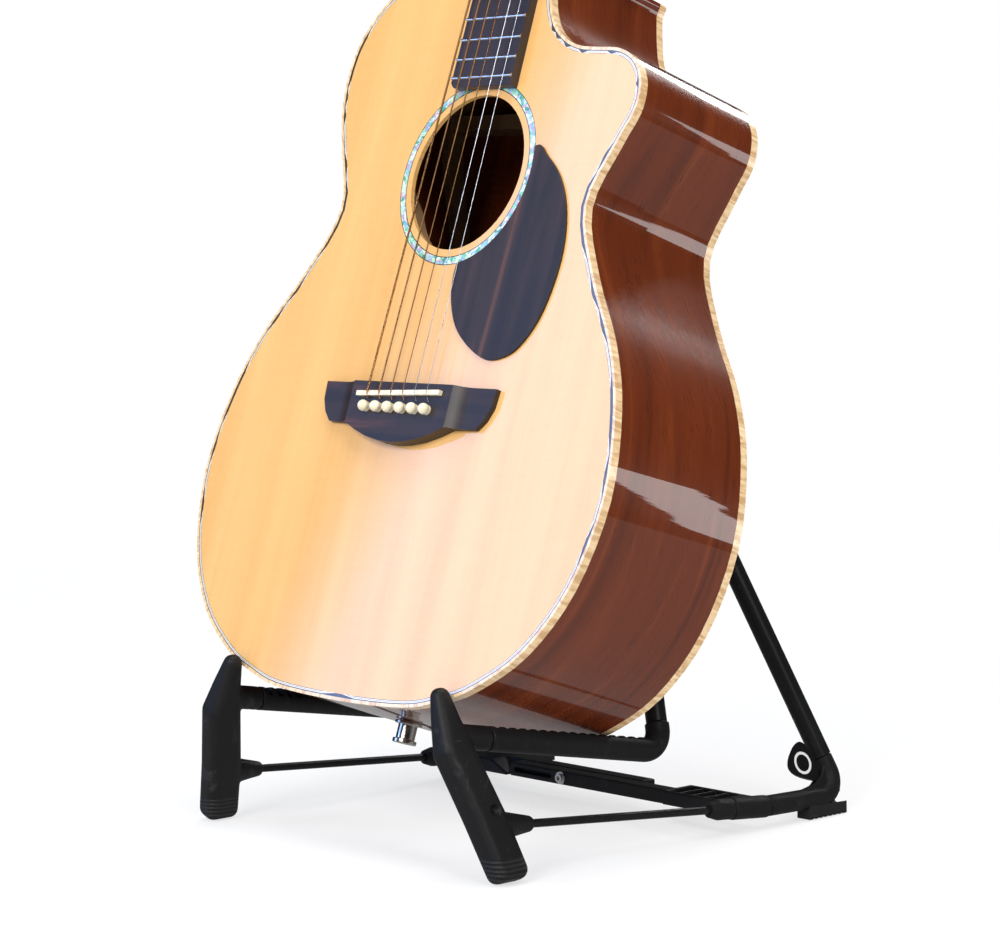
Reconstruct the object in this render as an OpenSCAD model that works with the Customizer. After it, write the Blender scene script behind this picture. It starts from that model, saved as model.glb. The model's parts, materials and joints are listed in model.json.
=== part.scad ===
// Steel-string guitar with a round cutaway, standing on a folding two-frame stand.
// World frame: +X to the guitar's treble side, +Y to the back, +Z up, floor at Z = 0.

/* [Guitar body] */
// Half the width of the lower bout
lower_half = 188; // [160:1:205]
// Half the width of the waist
waist_half = 115; // [100:1:125]
// Half the width of the upper bout
upper_half = 142; // [125:1:150]
// Distance from the saddle to the tail end of the body
tail_length = 189; // [175:1:200]
// Distance from the saddle to the shoulder, where the neck joins
shoulder_length = 290; // [286:1:300]
// Depth of the body at its deepest, near the tail
body_depth = 119; // [95:1:125]
// Radius of the domed back
back_radius = 5700; // [5000:100:6000]
// Thickness of the soundboard
top_thick = 2.8; // [2:0.1:4]
// Thickness of the back
back_thick = 3; // [2:0.1:4]
// Thickness of the bent sides
rim_thick = 2.2; // [1.8:0.1:3]
// Width of the binding on the face
binding_w = 2; // [1.5:0.1:3]
// Height of the binding on the sides
binding_h = 5.5; // [4:0.1:8]
// Width of the purfling beside the top binding
purfling_w = 2.2; // [1.5:0.1:3]
// Depth of the purfling and rosette channels
inlay_depth = 1.4; // [1:0.1:1.8]
// Radius of the soundhole
hole_r = 50; // [40:0.5:54]
// Height of the soundhole's centre above the saddle
hole_v = 145; // [140:1:148]
// Outer radius of the rosette
rosette_r = 60; // [58:0.5:64]
// Width of the rosette
rosette_w = 5.4; // [3:0.1:6]
// Angle that the soundboard leans back
guitar_tilt = 19.5; // [18:0.1:20.5]
// Height of the saddle's centre above the floor, on the soundboard
saddle_z = 270.2; // [269.8:0.1:300]

/* [Neck] */
// Scale length, saddle to nut
scale_length = 650; // [630:1:660]
// Number of frets
fret_count = 20; // [18:1:20]
// Half the width of the fretboard at the nut
nut_half = 22.3; // [21:0.1:24]
// Half the width of the fretboard at its body end
board_half = 28.1; // [26:0.1:30]
// Thickness of the fretboard
board_thick = 6.5; // [5:0.1:8]
// Depth of the neck shaft behind the fretboard, at the nut
neck_depth = 15; // [13.5:0.5:18]
// Angle that the headstock leans back
head_angle = 14; // [8:1:17]
// Length of the headstock
head_length = 185; // [175:1:200]
// Thickness of the headstock's wood
head_thick = 14; // [12:0.5:16]
// Distance between neighbouring tuners
tuner_pitch = 40; // [36:1:42]

/* [Bridge and strings] */
// Half the width of the bridge at its wings
bridge_half = 80; // [70:1:90]
// Height of the bridge's middle
bridge_h = 9; // [8:0.1:10]
// Height of the saddle's top above the soundboard
saddle_h = 12; // [11:0.1:13]
// Distance between neighbouring strings at the saddle
saddle_pitch = 11; // [10:0.1:11.4]
// Distance between neighbouring strings at the nut
nut_pitch = 7.4; // [6.8:0.1:7.8]

/* [Stand] */
// Half the distance between the side frames' planes at the floor
stand_half = 140.7; // [138:0.1:150]
// Angle that each side frame leans inwards
lean = 21.4; // [20.5:0.1:21.8]
// Diameter of the support arms
arm_d = 15; // [14:0.1:16]
// Diameter of the backrest, rear leg and base tube
tube_d = 13; // [11:0.1:14]
// Diameter of the steel rods
rod_d = 5; // [4:0.1:6]
// Thickness of the front legs across the frame
leg_thick = 18; // [15:0.5:20]
// Width of the front legs at the knee
leg_w = 22; // [19:0.5:24]
// Diameter of the front hooks at the tip
hook_d = 11; // [9:0.5:12]
// Height of the fold hinge's axis above the floor
hinge_z = 312; // [308:0.5:320]
// Diameter of the fold hinge's pin
hinge_pin_d = 5; // [4:0.1:6]
// Width of each brace bar
brace_w = 11; // [8:0.5:12]
// Height of each brace bar
brace_h = 9; // [7:0.5:10]

/* [Fits] */
// Clearance round a turning pin or a plugged-in rod
fit_gap = 0.05; // [0.03:0.01:0.1]
// Clearance between pieces that pass each other
pass_gap = 0.4; // [0.3:0.05:0.6]

/* [Hidden] */
$fn = 48;
// Places the origin under the middle of the bounding box
origin_y = 127;

// ---- outline of the body -------------------------------------------------

// Catmull-Rom point at t between b and c
function spline_at(a, b, c, d, t) =
    0.5 * (2 * b + (c - a) * t + (2 * a - 5 * b + 4 * c - d) * t * t
           + (3 * b - a - 3 * c + d) * t * t * t);
// Closed smooth curve through the points p, with k steps a span
function closed_curve(p, k) =
    let (n = len(p))
    [for (i = [0:n - 1]) for (j = [0:k - 1])
        spline_at(p[(i + n - 1) % n], p[i], p[(i + 1) % n], p[(i + 2) % n], j / k)];
// The closed, anticlockwise curve p moved inwards by d
function inset(p, d) =
    let (n = len(p), q = [for (i = [0:n - 1])
        let (t = p[(i + 1) % n] - p[(i + n - 1) % n], m = norm(t))
        p[i] + d * [-t[1], t[0]] / m])
    [for (a = q) if (min([for (b = p) norm(a - b)]) > d - 0.25) a];
function blend_to(a, b, t) = a + (b - a) * t;

tail_v = -tail_length;
lower_v = -52;
waist_v = 122;
upper_v = 212;
horn_v = upper_v + 10;
// Half widths that both sides share, from the tail to above the waist
shared_side = [
    [0.32 * lower_half, tail_v + 2.2], [0.479 * lower_half, tail_v + 9],
    [0.617 * lower_half, tail_v + 19], [0.803 * lower_half, tail_v + 44],
    [0.941 * lower_half, tail_v + 84], [lower_half, lower_v],
    [blend_to(waist_half, lower_half, 0.89), 0],
    [blend_to(waist_half, lower_half, 0.65), 40],
    [blend_to(waist_half, lower_half, 0.274), 80], [waist_half, waist_v],
    [blend_to(waist_half, upper_half, 0.48), 160]];
treble_horn = [
    [upper_half - 5, 180], [upper_half - 4.5, 195], [upper_half - 9, 206],
    [upper_half - 18, 215], [upper_half - 32, horn_v - 1.5], [upper_half - 50, horn_v],
    [76, horn_v + 1.7], [62, horn_v + 7], [50, horn_v + 16], [42, horn_v + 28],
    [37, horn_v + 42], [33, shoulder_length - 10], [30, shoulder_length]];
bass_shoulder = [
    [-28, shoulder_length], [-45, shoulder_length - 1], [-80, shoulder_length - 7],
    [-0.815 * upper_half, shoulder_length - 23], [-0.962 * upper_half, upper_v + 28],
    [-upper_half, upper_v], [-0.972 * upper_half, 185]];
mirrored_side = [for (i = [len(shared_side) - 1:-1:0]) [-shared_side[i][0], shared_side[i][1]]];
outline = [for (p = closed_curve(
    concat([[0, tail_v]], shared_side, treble_horn, bass_shoulder, mirrored_side), 4))
    [p[0], min(p[1], shoulder_length)]];

// ---- shared values of the guitar ------------------------------------------

lining_w = 6;
lining_h = 13;
brace_deep = 12;
endpin_y = 0.5 * body_depth;
endpin_r = 6;
jack_bore_r = 3.25;
string_gauges = [1.35, 1.07, 0.81, 0.61, 0.43, 0.33];
post_r = 3;
post_h = [for (i = [0:2]) 42 + i * tuner_pitch];
post_x = [for (i = [0:2]) 20.5 + 2 * i];
nut_len = 5;
nut_h = board_thick + 1.6;
board_end_v = scale_length * pow(2, -fret_count / 12) - 6.2;
gear_r = 6;
worm_r = 2.4;
gear_y = head_thick + 6;
worm_off = gear_r + worm_r + 0.3;
button_gap = 4;

// ---- shared values of the stand -------------------------------------------

// Points of a side frame: distance back along the world Y, then up the leaning plane
arm_front = [-60, 88.4];
rest_corner = [91.2, 59.4];
rest_slope = 0.2;
rear_slope = 0.231;
rear_corner = [231.6, 12.2];
base_front = [165.2, 13.9];
rod_front = [-25.1, 31.5];
collar_front = [116.7, 18.0];
collar_mid = [134.9, 16.5];
arm_bend = 14;
rear_bend = 13;
arm_seam = -40.4;
rest_seam = 76.3;
rear_seam = 37.3;
plug_r = 4;
plug_len = 12;
knee = [-67, 80];
hook_tip = [-66.2, 113];
foot_end = [-51.5, 6.9];
collar_t = 142.5;
barrel_t = 160.7;
barrel_len = 30;
base_t = barrel_t + barrel_len;
rod_end_t = base_t + 14;
knuckle_r = 7;
knuckle_half = 5.8;
bracket_half = 15;
bracket_y = rest_y(310) + 12;
fold_max = 42;

// Centre lines of the backrest and the rear leg at height t up the plane
function rest_y(t) = rest_corner[0] + rest_slope * (t - rest_corner[1]);
function rear_y(t) = rear_corner[0] - rear_slope * (t - rear_corner[1]);
function arm_s(y) = rest_corner[1]
    + (arm_front[1] - rest_corner[1]) * (y - rest_corner[0]) / (arm_front[0] - rest_corner[0]);

// Place of the fold hinge's axis in a side frame: inwards, then up the plane
hinge_n = hinge_z * sin(lean) - stand_half * cos(lean);
hinge_s = hinge_z * cos(lean) + stand_half * sin(lean);

// ---- placing ---------------------------------------------------------------

module place() translate([0, -origin_y, 0]) children();

// Guitar frame: X to the treble side, Y into the body, Z up the neck, zero at the saddle
module on_guitar()
    place() translate([0, 0, saddle_z]) rotate([-guitar_tilt, 0, 0]) children();

// Headstock frame, turned back at the nut: Z along the headstock, Y into its wood
module on_head()
    on_guitar() translate([0, 0, scale_length + nut_len]) rotate([-head_angle, 0, 0])
        children();

// Side frame: X outwards from its plane, Y back, Z up the plane; side 1 is the treble side
module on_frame(side) place()
    if (side > 0) translate([stand_half, 0, 0]) rotate([0, -lean, 0]) children();
    else mirror([1, 0, 0]) translate([stand_half, 0, 0]) rotate([0, -lean, 0]) children();

// A flat shape drawn in X and Z, from depth y0 to depth y1
module slab(y0, y1)
    translate([0, y1, 0]) rotate([90, 0, 0]) linear_extrude(y1 - y0) children();

// A ring between two insets of the body outline, from depth y0 to depth y1
module outline_ring(d0, d1, y0, y1) slab(y0, y1) difference() {
    polygon(inset(outline, d0));
    polygon(inset(outline, d1));
}

// The back is part of a sphere whose centre lies this far below the saddle
dome_v = 200;
// Turns the sphere, whose surface stays where it is, so that a ring of its facets meets the tail
dome_turn = 0.503;
function dome_depth(v) = body_depth + 0.2 - back_radius
    + sqrt(back_radius * back_radius - (v + dome_v) * (v + dome_v));
// All that lies in front of the domed back, less d
module ahead_of_back(d = 0)
    translate([0, body_depth + 0.2 - back_radius, -dome_v])
    rotate([-dome_turn, 0, 0]) sphere(back_radius - d, $fn = 256);

// Where the back stands above a point of the floor, worked out near the top of the stand
rest_v = 60;
rest_slant = guitar_tilt - asin((rest_v + dome_v) / back_radius);
function back_y(z) =
    rest_v * sin(guitar_tilt) + dome_depth(rest_v) * cos(guitar_tilt)
    + tan(rest_slant) * (z - saddle_z - rest_v * cos(guitar_tilt)
                         + dome_depth(rest_v) * sin(guitar_tilt));

// Rod of diameter d between two points of a side frame
module frame_rod(p, q, d)
    translate([0, p[0], p[1]])
    rotate([atan2(q[1] - p[1], q[0] - p[0]) - 90, 0, 0]) cylinder(norm(q - p), d = d);

// A bend is this much thinner than the straight tubes that it joins
bend_step = 0.02;
// Round bend of radius r at corner c, coming from p and going to q
module frame_bend(p, c, q, r, d) {
    a1 = atan2(c[1] - p[1], c[0] - p[0]);
    turn = (atan2(q[1] - c[1], q[0] - c[0]) - a1 + 540) % 360 - 180;
    s = sign(turn);
    t = r * tan(abs(turn) / 2);
    centre = c - t * [cos(a1), sin(a1)] + r * s * [-sin(a1), cos(a1)];
    translate([0, centre[0], centre[1]]) rotate([90, 0, 90])
        rotate(s > 0 ? a1 - 90 : a1 + 90 + turn)
        rotate_extrude(angle = abs(turn)) translate([r, 0]) circle(d = d - bend_step);
}
// Point at the end of a bend, t along from corner c towards q
function past(c, q, t) = c + t * (q - c) / norm(q - c);
// Length that a bend of radius r takes from each side of corner c
function bend_take(p, c, q, r) =
    let (u = (c - p) / norm(c - p), w = (q - c) / norm(q - c), k = acos(u * w))
    r * tan(k / 2);

// ---- guitar: the box -------------------------------------------------------

module soundboard() color("burlywood") on_guitar() difference() {
    slab(0, top_thick) difference() {
        polygon(inset(outline, binding_w));
        translate([0, hole_v]) circle(hole_r, $fn = 96);
    }
    outline_ring(binding_w - 1, binding_w + purfling_w, -1, inlay_depth);
    slab(-1, inlay_depth) rosette_shape(0);
}

module rosette_shape(grow) translate([0, hole_v]) difference() {
    circle(rosette_r + grow, $fn = 96);
    circle(rosette_r - rosette_w - grow, $fn = 96);
}

module rosette() color("paleturquoise") on_guitar() slab(0, inlay_depth) rosette_shape(0);

module purfling() color("white") on_guitar()
    outline_ring(binding_w, binding_w + purfling_w, 0, inlay_depth);

module top_binding() color("wheat") on_guitar() outline_ring(0, binding_w, 0, binding_h);

module rim() color("saddlebrown") on_guitar() difference() {
    intersection() {
        outline_ring(0, rim_thick, binding_h, body_depth);
        ahead_of_back(binding_h);
    }
    translate([0, endpin_y, tail_v - 5]) cylinder(20, r = endpin_r);
}

module back_binding() color("wheat") on_guitar() difference() {
    intersection() {
        outline_ring(0, binding_w, 0, body_depth);
        ahead_of_back();
    }
    ahead_of_back(binding_h);
}

module back_plate() color("saddlebrown") on_guitar() difference() {
    intersection() {
        slab(0, body_depth) polygon(inset(outline, binding_w));
        ahead_of_back();
    }
    ahead_of_back(back_thick);
}

module lining_strips() color("tan") on_guitar() {
    outline_ring(rim_thick, rim_thick + lining_w, top_thick, top_thick + lining_h);
    difference() {
        intersection() {
            outline_ring(rim_thick, rim_thick + lining_w, 0, body_depth);
            ahead_of_back(back_thick);
        }
        ahead_of_back(back_thick + lining_h);
    }
}
// Kerfed strips along both edges of the sides, with the blocks at the neck and the tail
module linings() {
    lining_strips();
    neck_block();
    tail_block();
}

// Everything inside the linings
module inside_linings(y0, y1) slab(y0, y1) polygon(inset(outline, rim_thick + lining_w + 0.2));
// Everything inside the sides
module inside_rim(y0, y1) slab(y0, y1) polygon(inset(outline, rim_thick));

// Bar centred at (u, v), turned by a in the plane of the top
module bar(u, v, a, length, width)
    translate([u, v]) rotate(a) square([length, width], center = true);

module top_braces() color("tan") on_guitar() {
    soundboard_bars();
    slab(top_thick + brace_deep - 0.01, top_thick + brace_deep + 2.5)
        translate([0, -8]) square([150, 34], center = true);
}
module soundboard_bars() intersection() {
    inside_linings(top_thick, top_thick + brace_deep);
    slab(top_thick, top_thick + brace_deep) {
        for (a = [48, -48]) difference() {
            bar(0, 62, a, 520, 8);
            translate([0, hole_v]) circle(hole_r + 4);
            translate([-300, shoulder_length - 90]) square([600, 200]);
        }
        bar(0, 218, 0, 300, 12);
        bar(-10, -95, -32, 190, 7);
        bar(-10, -140, -32, 190, 7);
    }
}

module back_braces() color("tan") on_guitar() difference() {
    intersection() {
        inside_linings(0, body_depth);
        ahead_of_back(back_thick);
        slab(0, body_depth) for (v = [-145, -38, 98, 212]) bar(0, v, 0, 420, 10);
    }
    ahead_of_back(back_thick + brace_deep);
}

module neck_block() color("tan") on_guitar() intersection() {
    slab(top_thick + lining_h, body_depth) polygon(inset(outline, rim_thick));
    ahead_of_back(back_thick + lining_h);
    translate([-38, 0, shoulder_length - 50]) cube([66, body_depth, 60]);
}

module tail_block() color("tan") on_guitar() difference() {
    intersection() {
        inside_rim(top_thick + lining_h, body_depth);
        ahead_of_back(back_thick + lining_h);
        translate([-40, 0, tail_v - 5]) cube([80, body_depth, 25]);
    }
    translate([0, endpin_y, tail_v - 10]) cylinder(60, r = endpin_r);
}

// Socket for a plug, with the flange that holds a strap
module endpin_jack() color("silver") on_guitar() translate([0, endpin_y, tail_v])
    difference() {
        union() {
            translate([0, 0, -12]) cylinder(50, r = endpin_r - fit_gap);
            translate([0, 0, -2.2]) cylinder(1.8, r = 8.5);
            translate([0, 0, -14]) cylinder(2.6, r = 7.5);
        }
        translate([0, 0, -20]) cylinder(50, r = jack_bore_r);
    }

// ---- guitar: the face ------------------------------------------------------

pickguard_curve = closed_curve([
    [58, 160], [73, 153], [88, 140], [99, 122], [105, 100], [105, 77], [99, 52],
    [87, 34], [74, 27], [60, 26], [43, 33], [27, 45], [17, 61], [13, 78], [16, 95],
    [30, 130]], 4);
module pickguard() color("dimgray") on_guitar() slab(-1.8, 0) difference() {
    polygon(pickguard_curve);
    translate([0, hole_v]) circle(rosette_r + 0.3, $fn = 96);
}

bridge_shape = concat(
    [[-bridge_half, 7.5], [-bridge_half + 1, -4], [-bridge_half + 5, -12],
     [-bridge_half + 11, -18]],
    [for (p = [[-48, -18.5], [-36, -23.5], [-24, -27.2], [-12, -29.4], [0, -30.2],
               [12, -29.4], [24, -27.2], [36, -23.5], [48, -18.5]]) p],
    [[bridge_half - 11, -18], [bridge_half - 5, -12],
     [bridge_half - 1, -4], [bridge_half, 7.5]]);
wing_h = 3.6;
wing_u = 0.6 * bridge_half;
saddle_half = 38.5;
module bridge() color("#3a2f2c") on_guitar() difference() {
    slab(-bridge_h, 0) polygon(bridge_shape);
    for (s = [-1, 1]) hull() for (k = [0, 1])
        translate([s * (wing_u + 13 + 30 * k), -wing_h - 22, -50]) cylinder(100, r = 22, $fn = 64);
    saddle_slot(0.02);
    for (i = [0:5]) pin_at(i) translate([0, 0, -1]) cylinder(30, r = pin_r + 0.02);
}
module saddle_slot(grow) translate([0, -saddle_h, 0.3]) rotate([0, -2.2, 0])
    translate([-saddle_half - grow, 0, -1.5 - grow])
    cube([2 * saddle_half + 2 * grow, saddle_h - 2.5, 3 + 2 * grow]);
module saddle() color("ivory") on_guitar() difference() {
    saddle_slot(0);
    for (i = [0:5]) string(i, groove_gap);
}

pin_r = 2.4;
pin_v = -9;
// Frame of bridge pin i, pointing into the body
module pin_at(i) translate([(i - 2.5) * saddle_pitch * 1.04, -bridge_h, pin_v])
    rotate([-90, 0, 0]) children();
module bridge_pins() color("ivory") on_guitar() for (i = [0:5]) pin_at(i) {
    cylinder(bridge_h - 0.5, r = pin_r);
    translate([0, 0, -1.4]) cylinder(1.4, r = 3.1);
    translate([0, 0, -3.2]) sphere(3.5);
}

// ---- guitar: strings -------------------------------------------------------

function string_x(i, pitch) = (i - 2.5) * pitch;
// String i: side and row of its tuner, bass strings first
function tuner_side(i) = i < 3 ? -1 : 1;
function tuner_row(i) = i < 3 ? i : 5 - i;
string_post_n = 8.5;
groove_gap = 0.03;
// Point in the guitar frame for headstock coordinates (x across, n out of the face, h along)
function head_point(x, n, h) = [
    x,
    -n * cos(head_angle) + h * sin(head_angle),
    scale_length + nut_len + h * cos(head_angle) + n * sin(head_angle)];
function string_path(i) =
    let (g = string_gauges[i] / 2, s = tuner_side(i), r = tuner_row(i))
    [[string_x(i, saddle_pitch * 1.04), -bridge_h - g - 0.2, pin_v + pin_r + 2.2 + g],
     [string_x(i, saddle_pitch), -saddle_h - g, 0.3],
     [string_x(i, nut_pitch), -nut_h - g, scale_length + nut_len / 2],
     head_point(s * (post_x[r] - post_r - g - pass_gap), string_post_n, post_h[r])];
module rod_between(p, q, r) {
    d = q - p;
    translate(p) rotate([0, acos(d[2] / norm(d)), atan2(d[1], d[0])])
        cylinder(norm(d), r = r, $fn = 16);
}
// A string is three straight lengths that meet at the saddle and the nut
module string(i, grow = 0) {
    p = string_path(i);
    for (k = [0:len(p) - 2]) {
        step = (0.3 - 2 * grow) * (p[k + 1] - p[k]) / norm(p[k + 1] - p[k]);
        rod_between(p[k] + step, p[k + 1] - step, string_gauges[i] / 2 + grow);
    }
}
module wound_strings() color("#b87a3c") on_guitar() for (i = [0:3]) string(i);
module plain_strings() color("silver") on_guitar() for (i = [4, 5]) string(i);

// ---- guitar: neck and head -------------------------------------------------

function board_half_at(v) =
    nut_half + (board_half - nut_half) * (scale_length - v) / (scale_length - board_end_v);
module fretboard() color("#2b2625") on_guitar() slab(-board_thick, 0) polygon([
    [-board_half + 3, board_end_v], [board_half, board_end_v], [nut_half, scale_length],
    [-nut_half, scale_length], [-board_half, board_end_v + 3]]);

module frets() color("silver") on_guitar() for (f = [1:fret_count]) {
    v = scale_length * pow(2, -f / 12);
    w = board_half_at(v) - 0.3;
    intersection() {
        translate([-w, -board_thick, v]) rotate([0, 90, 0]) cylinder(2 * w, r = 1.15, $fn = 24);
        translate([-w - 1, -board_thick - 2, v - 2]) cube([2 * w + 2, 2, 4]);
    }
}

module nut() color("ivory") on_guitar() difference() {
    translate([-nut_half, -nut_h, scale_length]) cube([2 * nut_half, nut_h, nut_len]);
    for (i = [0:5]) string(i, groove_gap);
}

neck_joint_depth = neck_depth + 3;
rod_channel_r = 3.1;
// Half-round slice of the neck's shaft at height v
module neck_slice(v, half, depth) translate([0, 0, v]) linear_extrude(0.5)
    intersection() {
        scale([half, depth]) circle(1, $fn = 64);
        translate([-half, 0]) square([2 * half, depth]);
    }
heel_half = 26;
heel_depth = body_depth - 26;
module neck() color("saddlebrown") difference() {
    union() {
        on_guitar() {
            hull() {
                neck_slice(scale_length + nut_len - 0.5, nut_half, neck_depth);
                neck_slice(shoulder_length + 22, board_half_at(shoulder_length), neck_joint_depth);
            }
            hull() {
                neck_slice(shoulder_length + 45, board_half_at(shoulder_length + 45),
                    neck_joint_depth - 0.8);
                translate([-heel_half, 0, shoulder_length + 0.1]) cube([2 * heel_half, 30, 24]);
                translate([-heel_half / 2, 0, shoulder_length + 0.1])
                    cube([heel_half, heel_depth, 11]);
            }
        }
        on_head() slab(2, head_thick) head_shape();
    }
    on_guitar() translate([0, 6, shoulder_length + 5])
        cylinder(scale_length - shoulder_length - 8, r = rod_channel_r);
    on_head() slab(-5, 2) translate([-60, 0]) square([120, 20]);
    head_holes(post_r + 1.2, 30);
}
module truss_rod() color("gray") on_guitar() translate([0, 6, shoulder_length + 8])
    cylinder(scale_length - shoulder_length - 14, r = rod_channel_r - fit_gap);

head_half_points = [
    [nut_half, 0], [nut_half + 1.5, 5], [28, 14], [29.8, 26], [32, 70], [34, 110],
    [36, 150], [36.3, 162], [33, 172]];
module head_shape() polygon(concat(
    head_half_points, [[20, head_length - 6], [8, head_length - 2], [0, head_length],
    [-8, head_length - 2], [-20, head_length - 6]],
    [for (i = [len(head_half_points) - 1:-1:0])
        [-head_half_points[i][0], head_half_points[i][1]]]));
module head_holes(r, depth) on_head() for (s = [-1, 1]) for (i = [0:2])
    translate([s * post_x[i], -2, post_h[i]]) rotate([-90, 0, 0]) cylinder(depth, r = r);
module headplate() color("#2b2625") difference() {
    on_head() slab(0, 2) head_shape();
    head_holes(post_r + 1.2, 30);
}

// Frame of the tuner of string i: X outwards, Y into the wood, Z along the head
module tuner_at(i) on_head() translate([tuner_side(i) * post_x[tuner_row(i)], 0,
    post_h[tuner_row(i)]]) if (tuner_side(i) > 0) children(); else mirror([1, 0, 0]) children();

housing_d = 10;
housing_x = 13;
module tuner_housings() color("silver") for (i = [0:5]) tuner_at(i) difference() {
    union() {
        translate([-9, head_thick, -worm_off - worm_r - 2])
            cube([9 + housing_x, housing_d, worm_off + worm_r + gear_r + 4]);
        translate([-9, head_thick, gear_r]) cube([8, 1.4, 11]);
    }
    translate([-7.5, head_thick + 1.5, -gear_r - 0.5])
        cube([15, housing_d - 3, 2 * gear_r + 1]);
    translate([-7.5, head_thick + 1.5, -worm_off - worm_r - 0.5])
        cube([15, housing_d - 3, 2 * worm_r + 3]);
    rotate([-90, 0, 0]) cylinder(head_thick + 3, r = post_r + fit_gap);
    translate([0, gear_y, -worm_off]) rotate([0, 90, 0]) cylinder(30, r = 1.6 + fit_gap);
}

module tuner_bushings() color("silver") for (i = [0:5]) tuner_at(i) difference() {
    union() {
        translate([0, -0.8, 0]) rotate([-90, 0, 0]) cylinder(0.8, r = 6.4);
        translate([0, -3, 0]) rotate([-90, 0, 0]) cylinder(2.2, r = 5, $fn = 6);
        translate([0, -3, 0]) rotate([-90, 0, 0]) cylinder(head_thick - 1, r = post_r + 1.15);
    }
    translate([0, -5, 0]) rotate([-90, 0, 0]) cylinder(40, r = post_r + fit_gap);
}

module tuner_post(i) color("silver") tuner_at(i) difference() {
    union() {
        translate([0, -12, 0]) rotate([-90, 0, 0]) cylinder(head_thick + 20.3, r = post_r);
        translate([0, gear_y - 2, 0]) rotate([-90, 0, 0]) cylinder(4, r = gear_r, $fn = 32);
    }
    translate([0, -9.8, 0]) rotate([0, 90, 0]) translate([0, 0, -9]) cylinder(18, r = 0.9, $fn = 16);
}

module tuner_button(i) color("silver") tuner_at(i) translate([0, gear_y, -worm_off])
    rotate([0, 90, 0]) {
        translate([0, 0, -5]) cylinder(10, r = worm_r);
        translate([0, 0, 5]) cylinder(housing_x + button_gap - 4, r = 1.6);
        translate([0, 0, housing_x + 1]) cylinder(button_gap, r = 3.2);
        translate([0, 0, housing_x + button_gap]) intersection() {
            thumb_button();
            translate([-20, -3.6, 0]) cube([40, 7.2, 18]);
        }
    }
// Round, flattened thumb button, standing on its stem
module thumb_button() translate([0, 0, 8]) sphere(9);

// ---- stand: side frames ----------------------------------------------------

// Frame on the steel rod's axis: Z runs back along it from the front leg's boss
axle_turn = atan2(base_front[1] - rod_front[1], base_front[0] - rod_front[0]) - 90;
module on_axle(side) on_frame(side)
    translate([0, rod_front[0], rod_front[1]]) rotate([axle_turn, 0, 0]) children();

// Four ball corners of the front leg at a point of its centre line
module leg_station(p, width, thick, r)
    for (a = [-1, 1]) for (b = [-1, 1])
        translate([a * (thick / 2 - r), p[0] + b * (width / 2 - r), p[1]])
            sphere(r, $fn = 24);

leg_end_w = leg_w + 2;
hook_neck = [-67, 97];
module front_leg(side) color("#262626") difference() {
    union() {
        intersection() {
            on_frame(side) union() {
                hull() {
                    leg_station(foot_end, leg_end_w, leg_thick - 1, 6);
                    leg_station([-57.5, 40], leg_end_w, leg_thick, 6);
                }
                hull() {
                    leg_station([-57.5, 40], leg_end_w, leg_thick, 6);
                    leg_station(knee, leg_w + 1, leg_thick, 6);
                }
                hull() {
                    leg_station(knee, leg_w + 1, leg_thick, 6);
                    leg_station(hook_neck, leg_w - 5, leg_thick - 3, 6);
                }
                hull() {
                    leg_station(hook_neck, leg_w - 5, leg_thick - 3, 6);
                    leg_station(hook_tip, hook_d + 1, hook_d, 5.4);
                }
            }
            translate([-500, -500, 0]) cube(1000);
        }
        on_axle(side) translate([0, 0, -22]) cylinder(22, r1 = 8.4, r2 = 4.6);
        on_frame(side) frame_rod([-66, arm_s(-66)], [arm_seam, arm_s(arm_seam)], arm_d);
    }
    on_axle(side) translate([0, 0, -16]) cylinder(30, d = rod_d + 2 * fit_gap);
    on_frame(side) frame_rod([arm_seam - plug_len - 1, arm_s(arm_seam - plug_len - 1)],
        [arm_seam + 5, arm_s(arm_seam + 5)], 2 * (plug_r + fit_gap));
    on_frame(side) screw_hole();
}
// Counterbored hole in the outer face of the front leg
module screw_hole() translate([leg_thick / 2 - 3.5, -54.7, 42]) rotate([0, 90, 0]) {
    cylinder(10, d = 6);
    translate([0, 0, 2.5]) cylinder(10, d = 8.4);
}

// Hole that takes the plug of the backrest, and of the rear leg
module rest_socket() frame_rod([rest_y(rest_seam - plug_len - 1), rest_seam - plug_len - 1],
    [rest_y(rest_seam + 5), rest_seam + 5], 2 * (plug_r + fit_gap));
module rear_socket() frame_rod([rear_y(rear_seam - plug_len - 1), rear_seam - plug_len - 1],
    [rear_y(rear_seam + 5), rear_seam + 5], 2 * (plug_r + fit_gap));

rib_pitch = 7.5;
rib_slot = 4.6;
rib_count = floor((rest_corner[0] - 14 - arm_seam) / rib_pitch);
module support_arm(side) color("#202020") on_frame(side) {
    take = bend_take(arm_front, rest_corner, [rest_y(200), 200], arm_bend);
    top = [rest_y(200), 200];
    start = [arm_seam + pass_gap, arm_s(arm_seam + pass_gap)];
    difference() {
        frame_rod(start, past(rest_corner, arm_front, take), arm_d);
        for (i = [1:rib_count]) let (y = arm_seam + i * rib_pitch)
            translate([0, y, arm_s(y) + 1.6]) rotate([atan2(arm_s(1) - arm_s(0), 1), 0, 0])
                translate([-5, -rib_slot / 2, 0]) cube([10, rib_slot, arm_d]);
    }
    difference() {
        frame_bend(arm_front, rest_corner, top, arm_bend, arm_d);
        rest_socket();
    }
    difference() {
        frame_rod(past(rest_corner, top, take), [rest_y(rest_seam), rest_seam], arm_d);
        rest_socket();
    }
    frame_rod([arm_seam - plug_len, arm_s(arm_seam - plug_len)],
        [arm_seam + 2, arm_s(arm_seam + 2)], 2 * plug_r);
}

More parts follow.
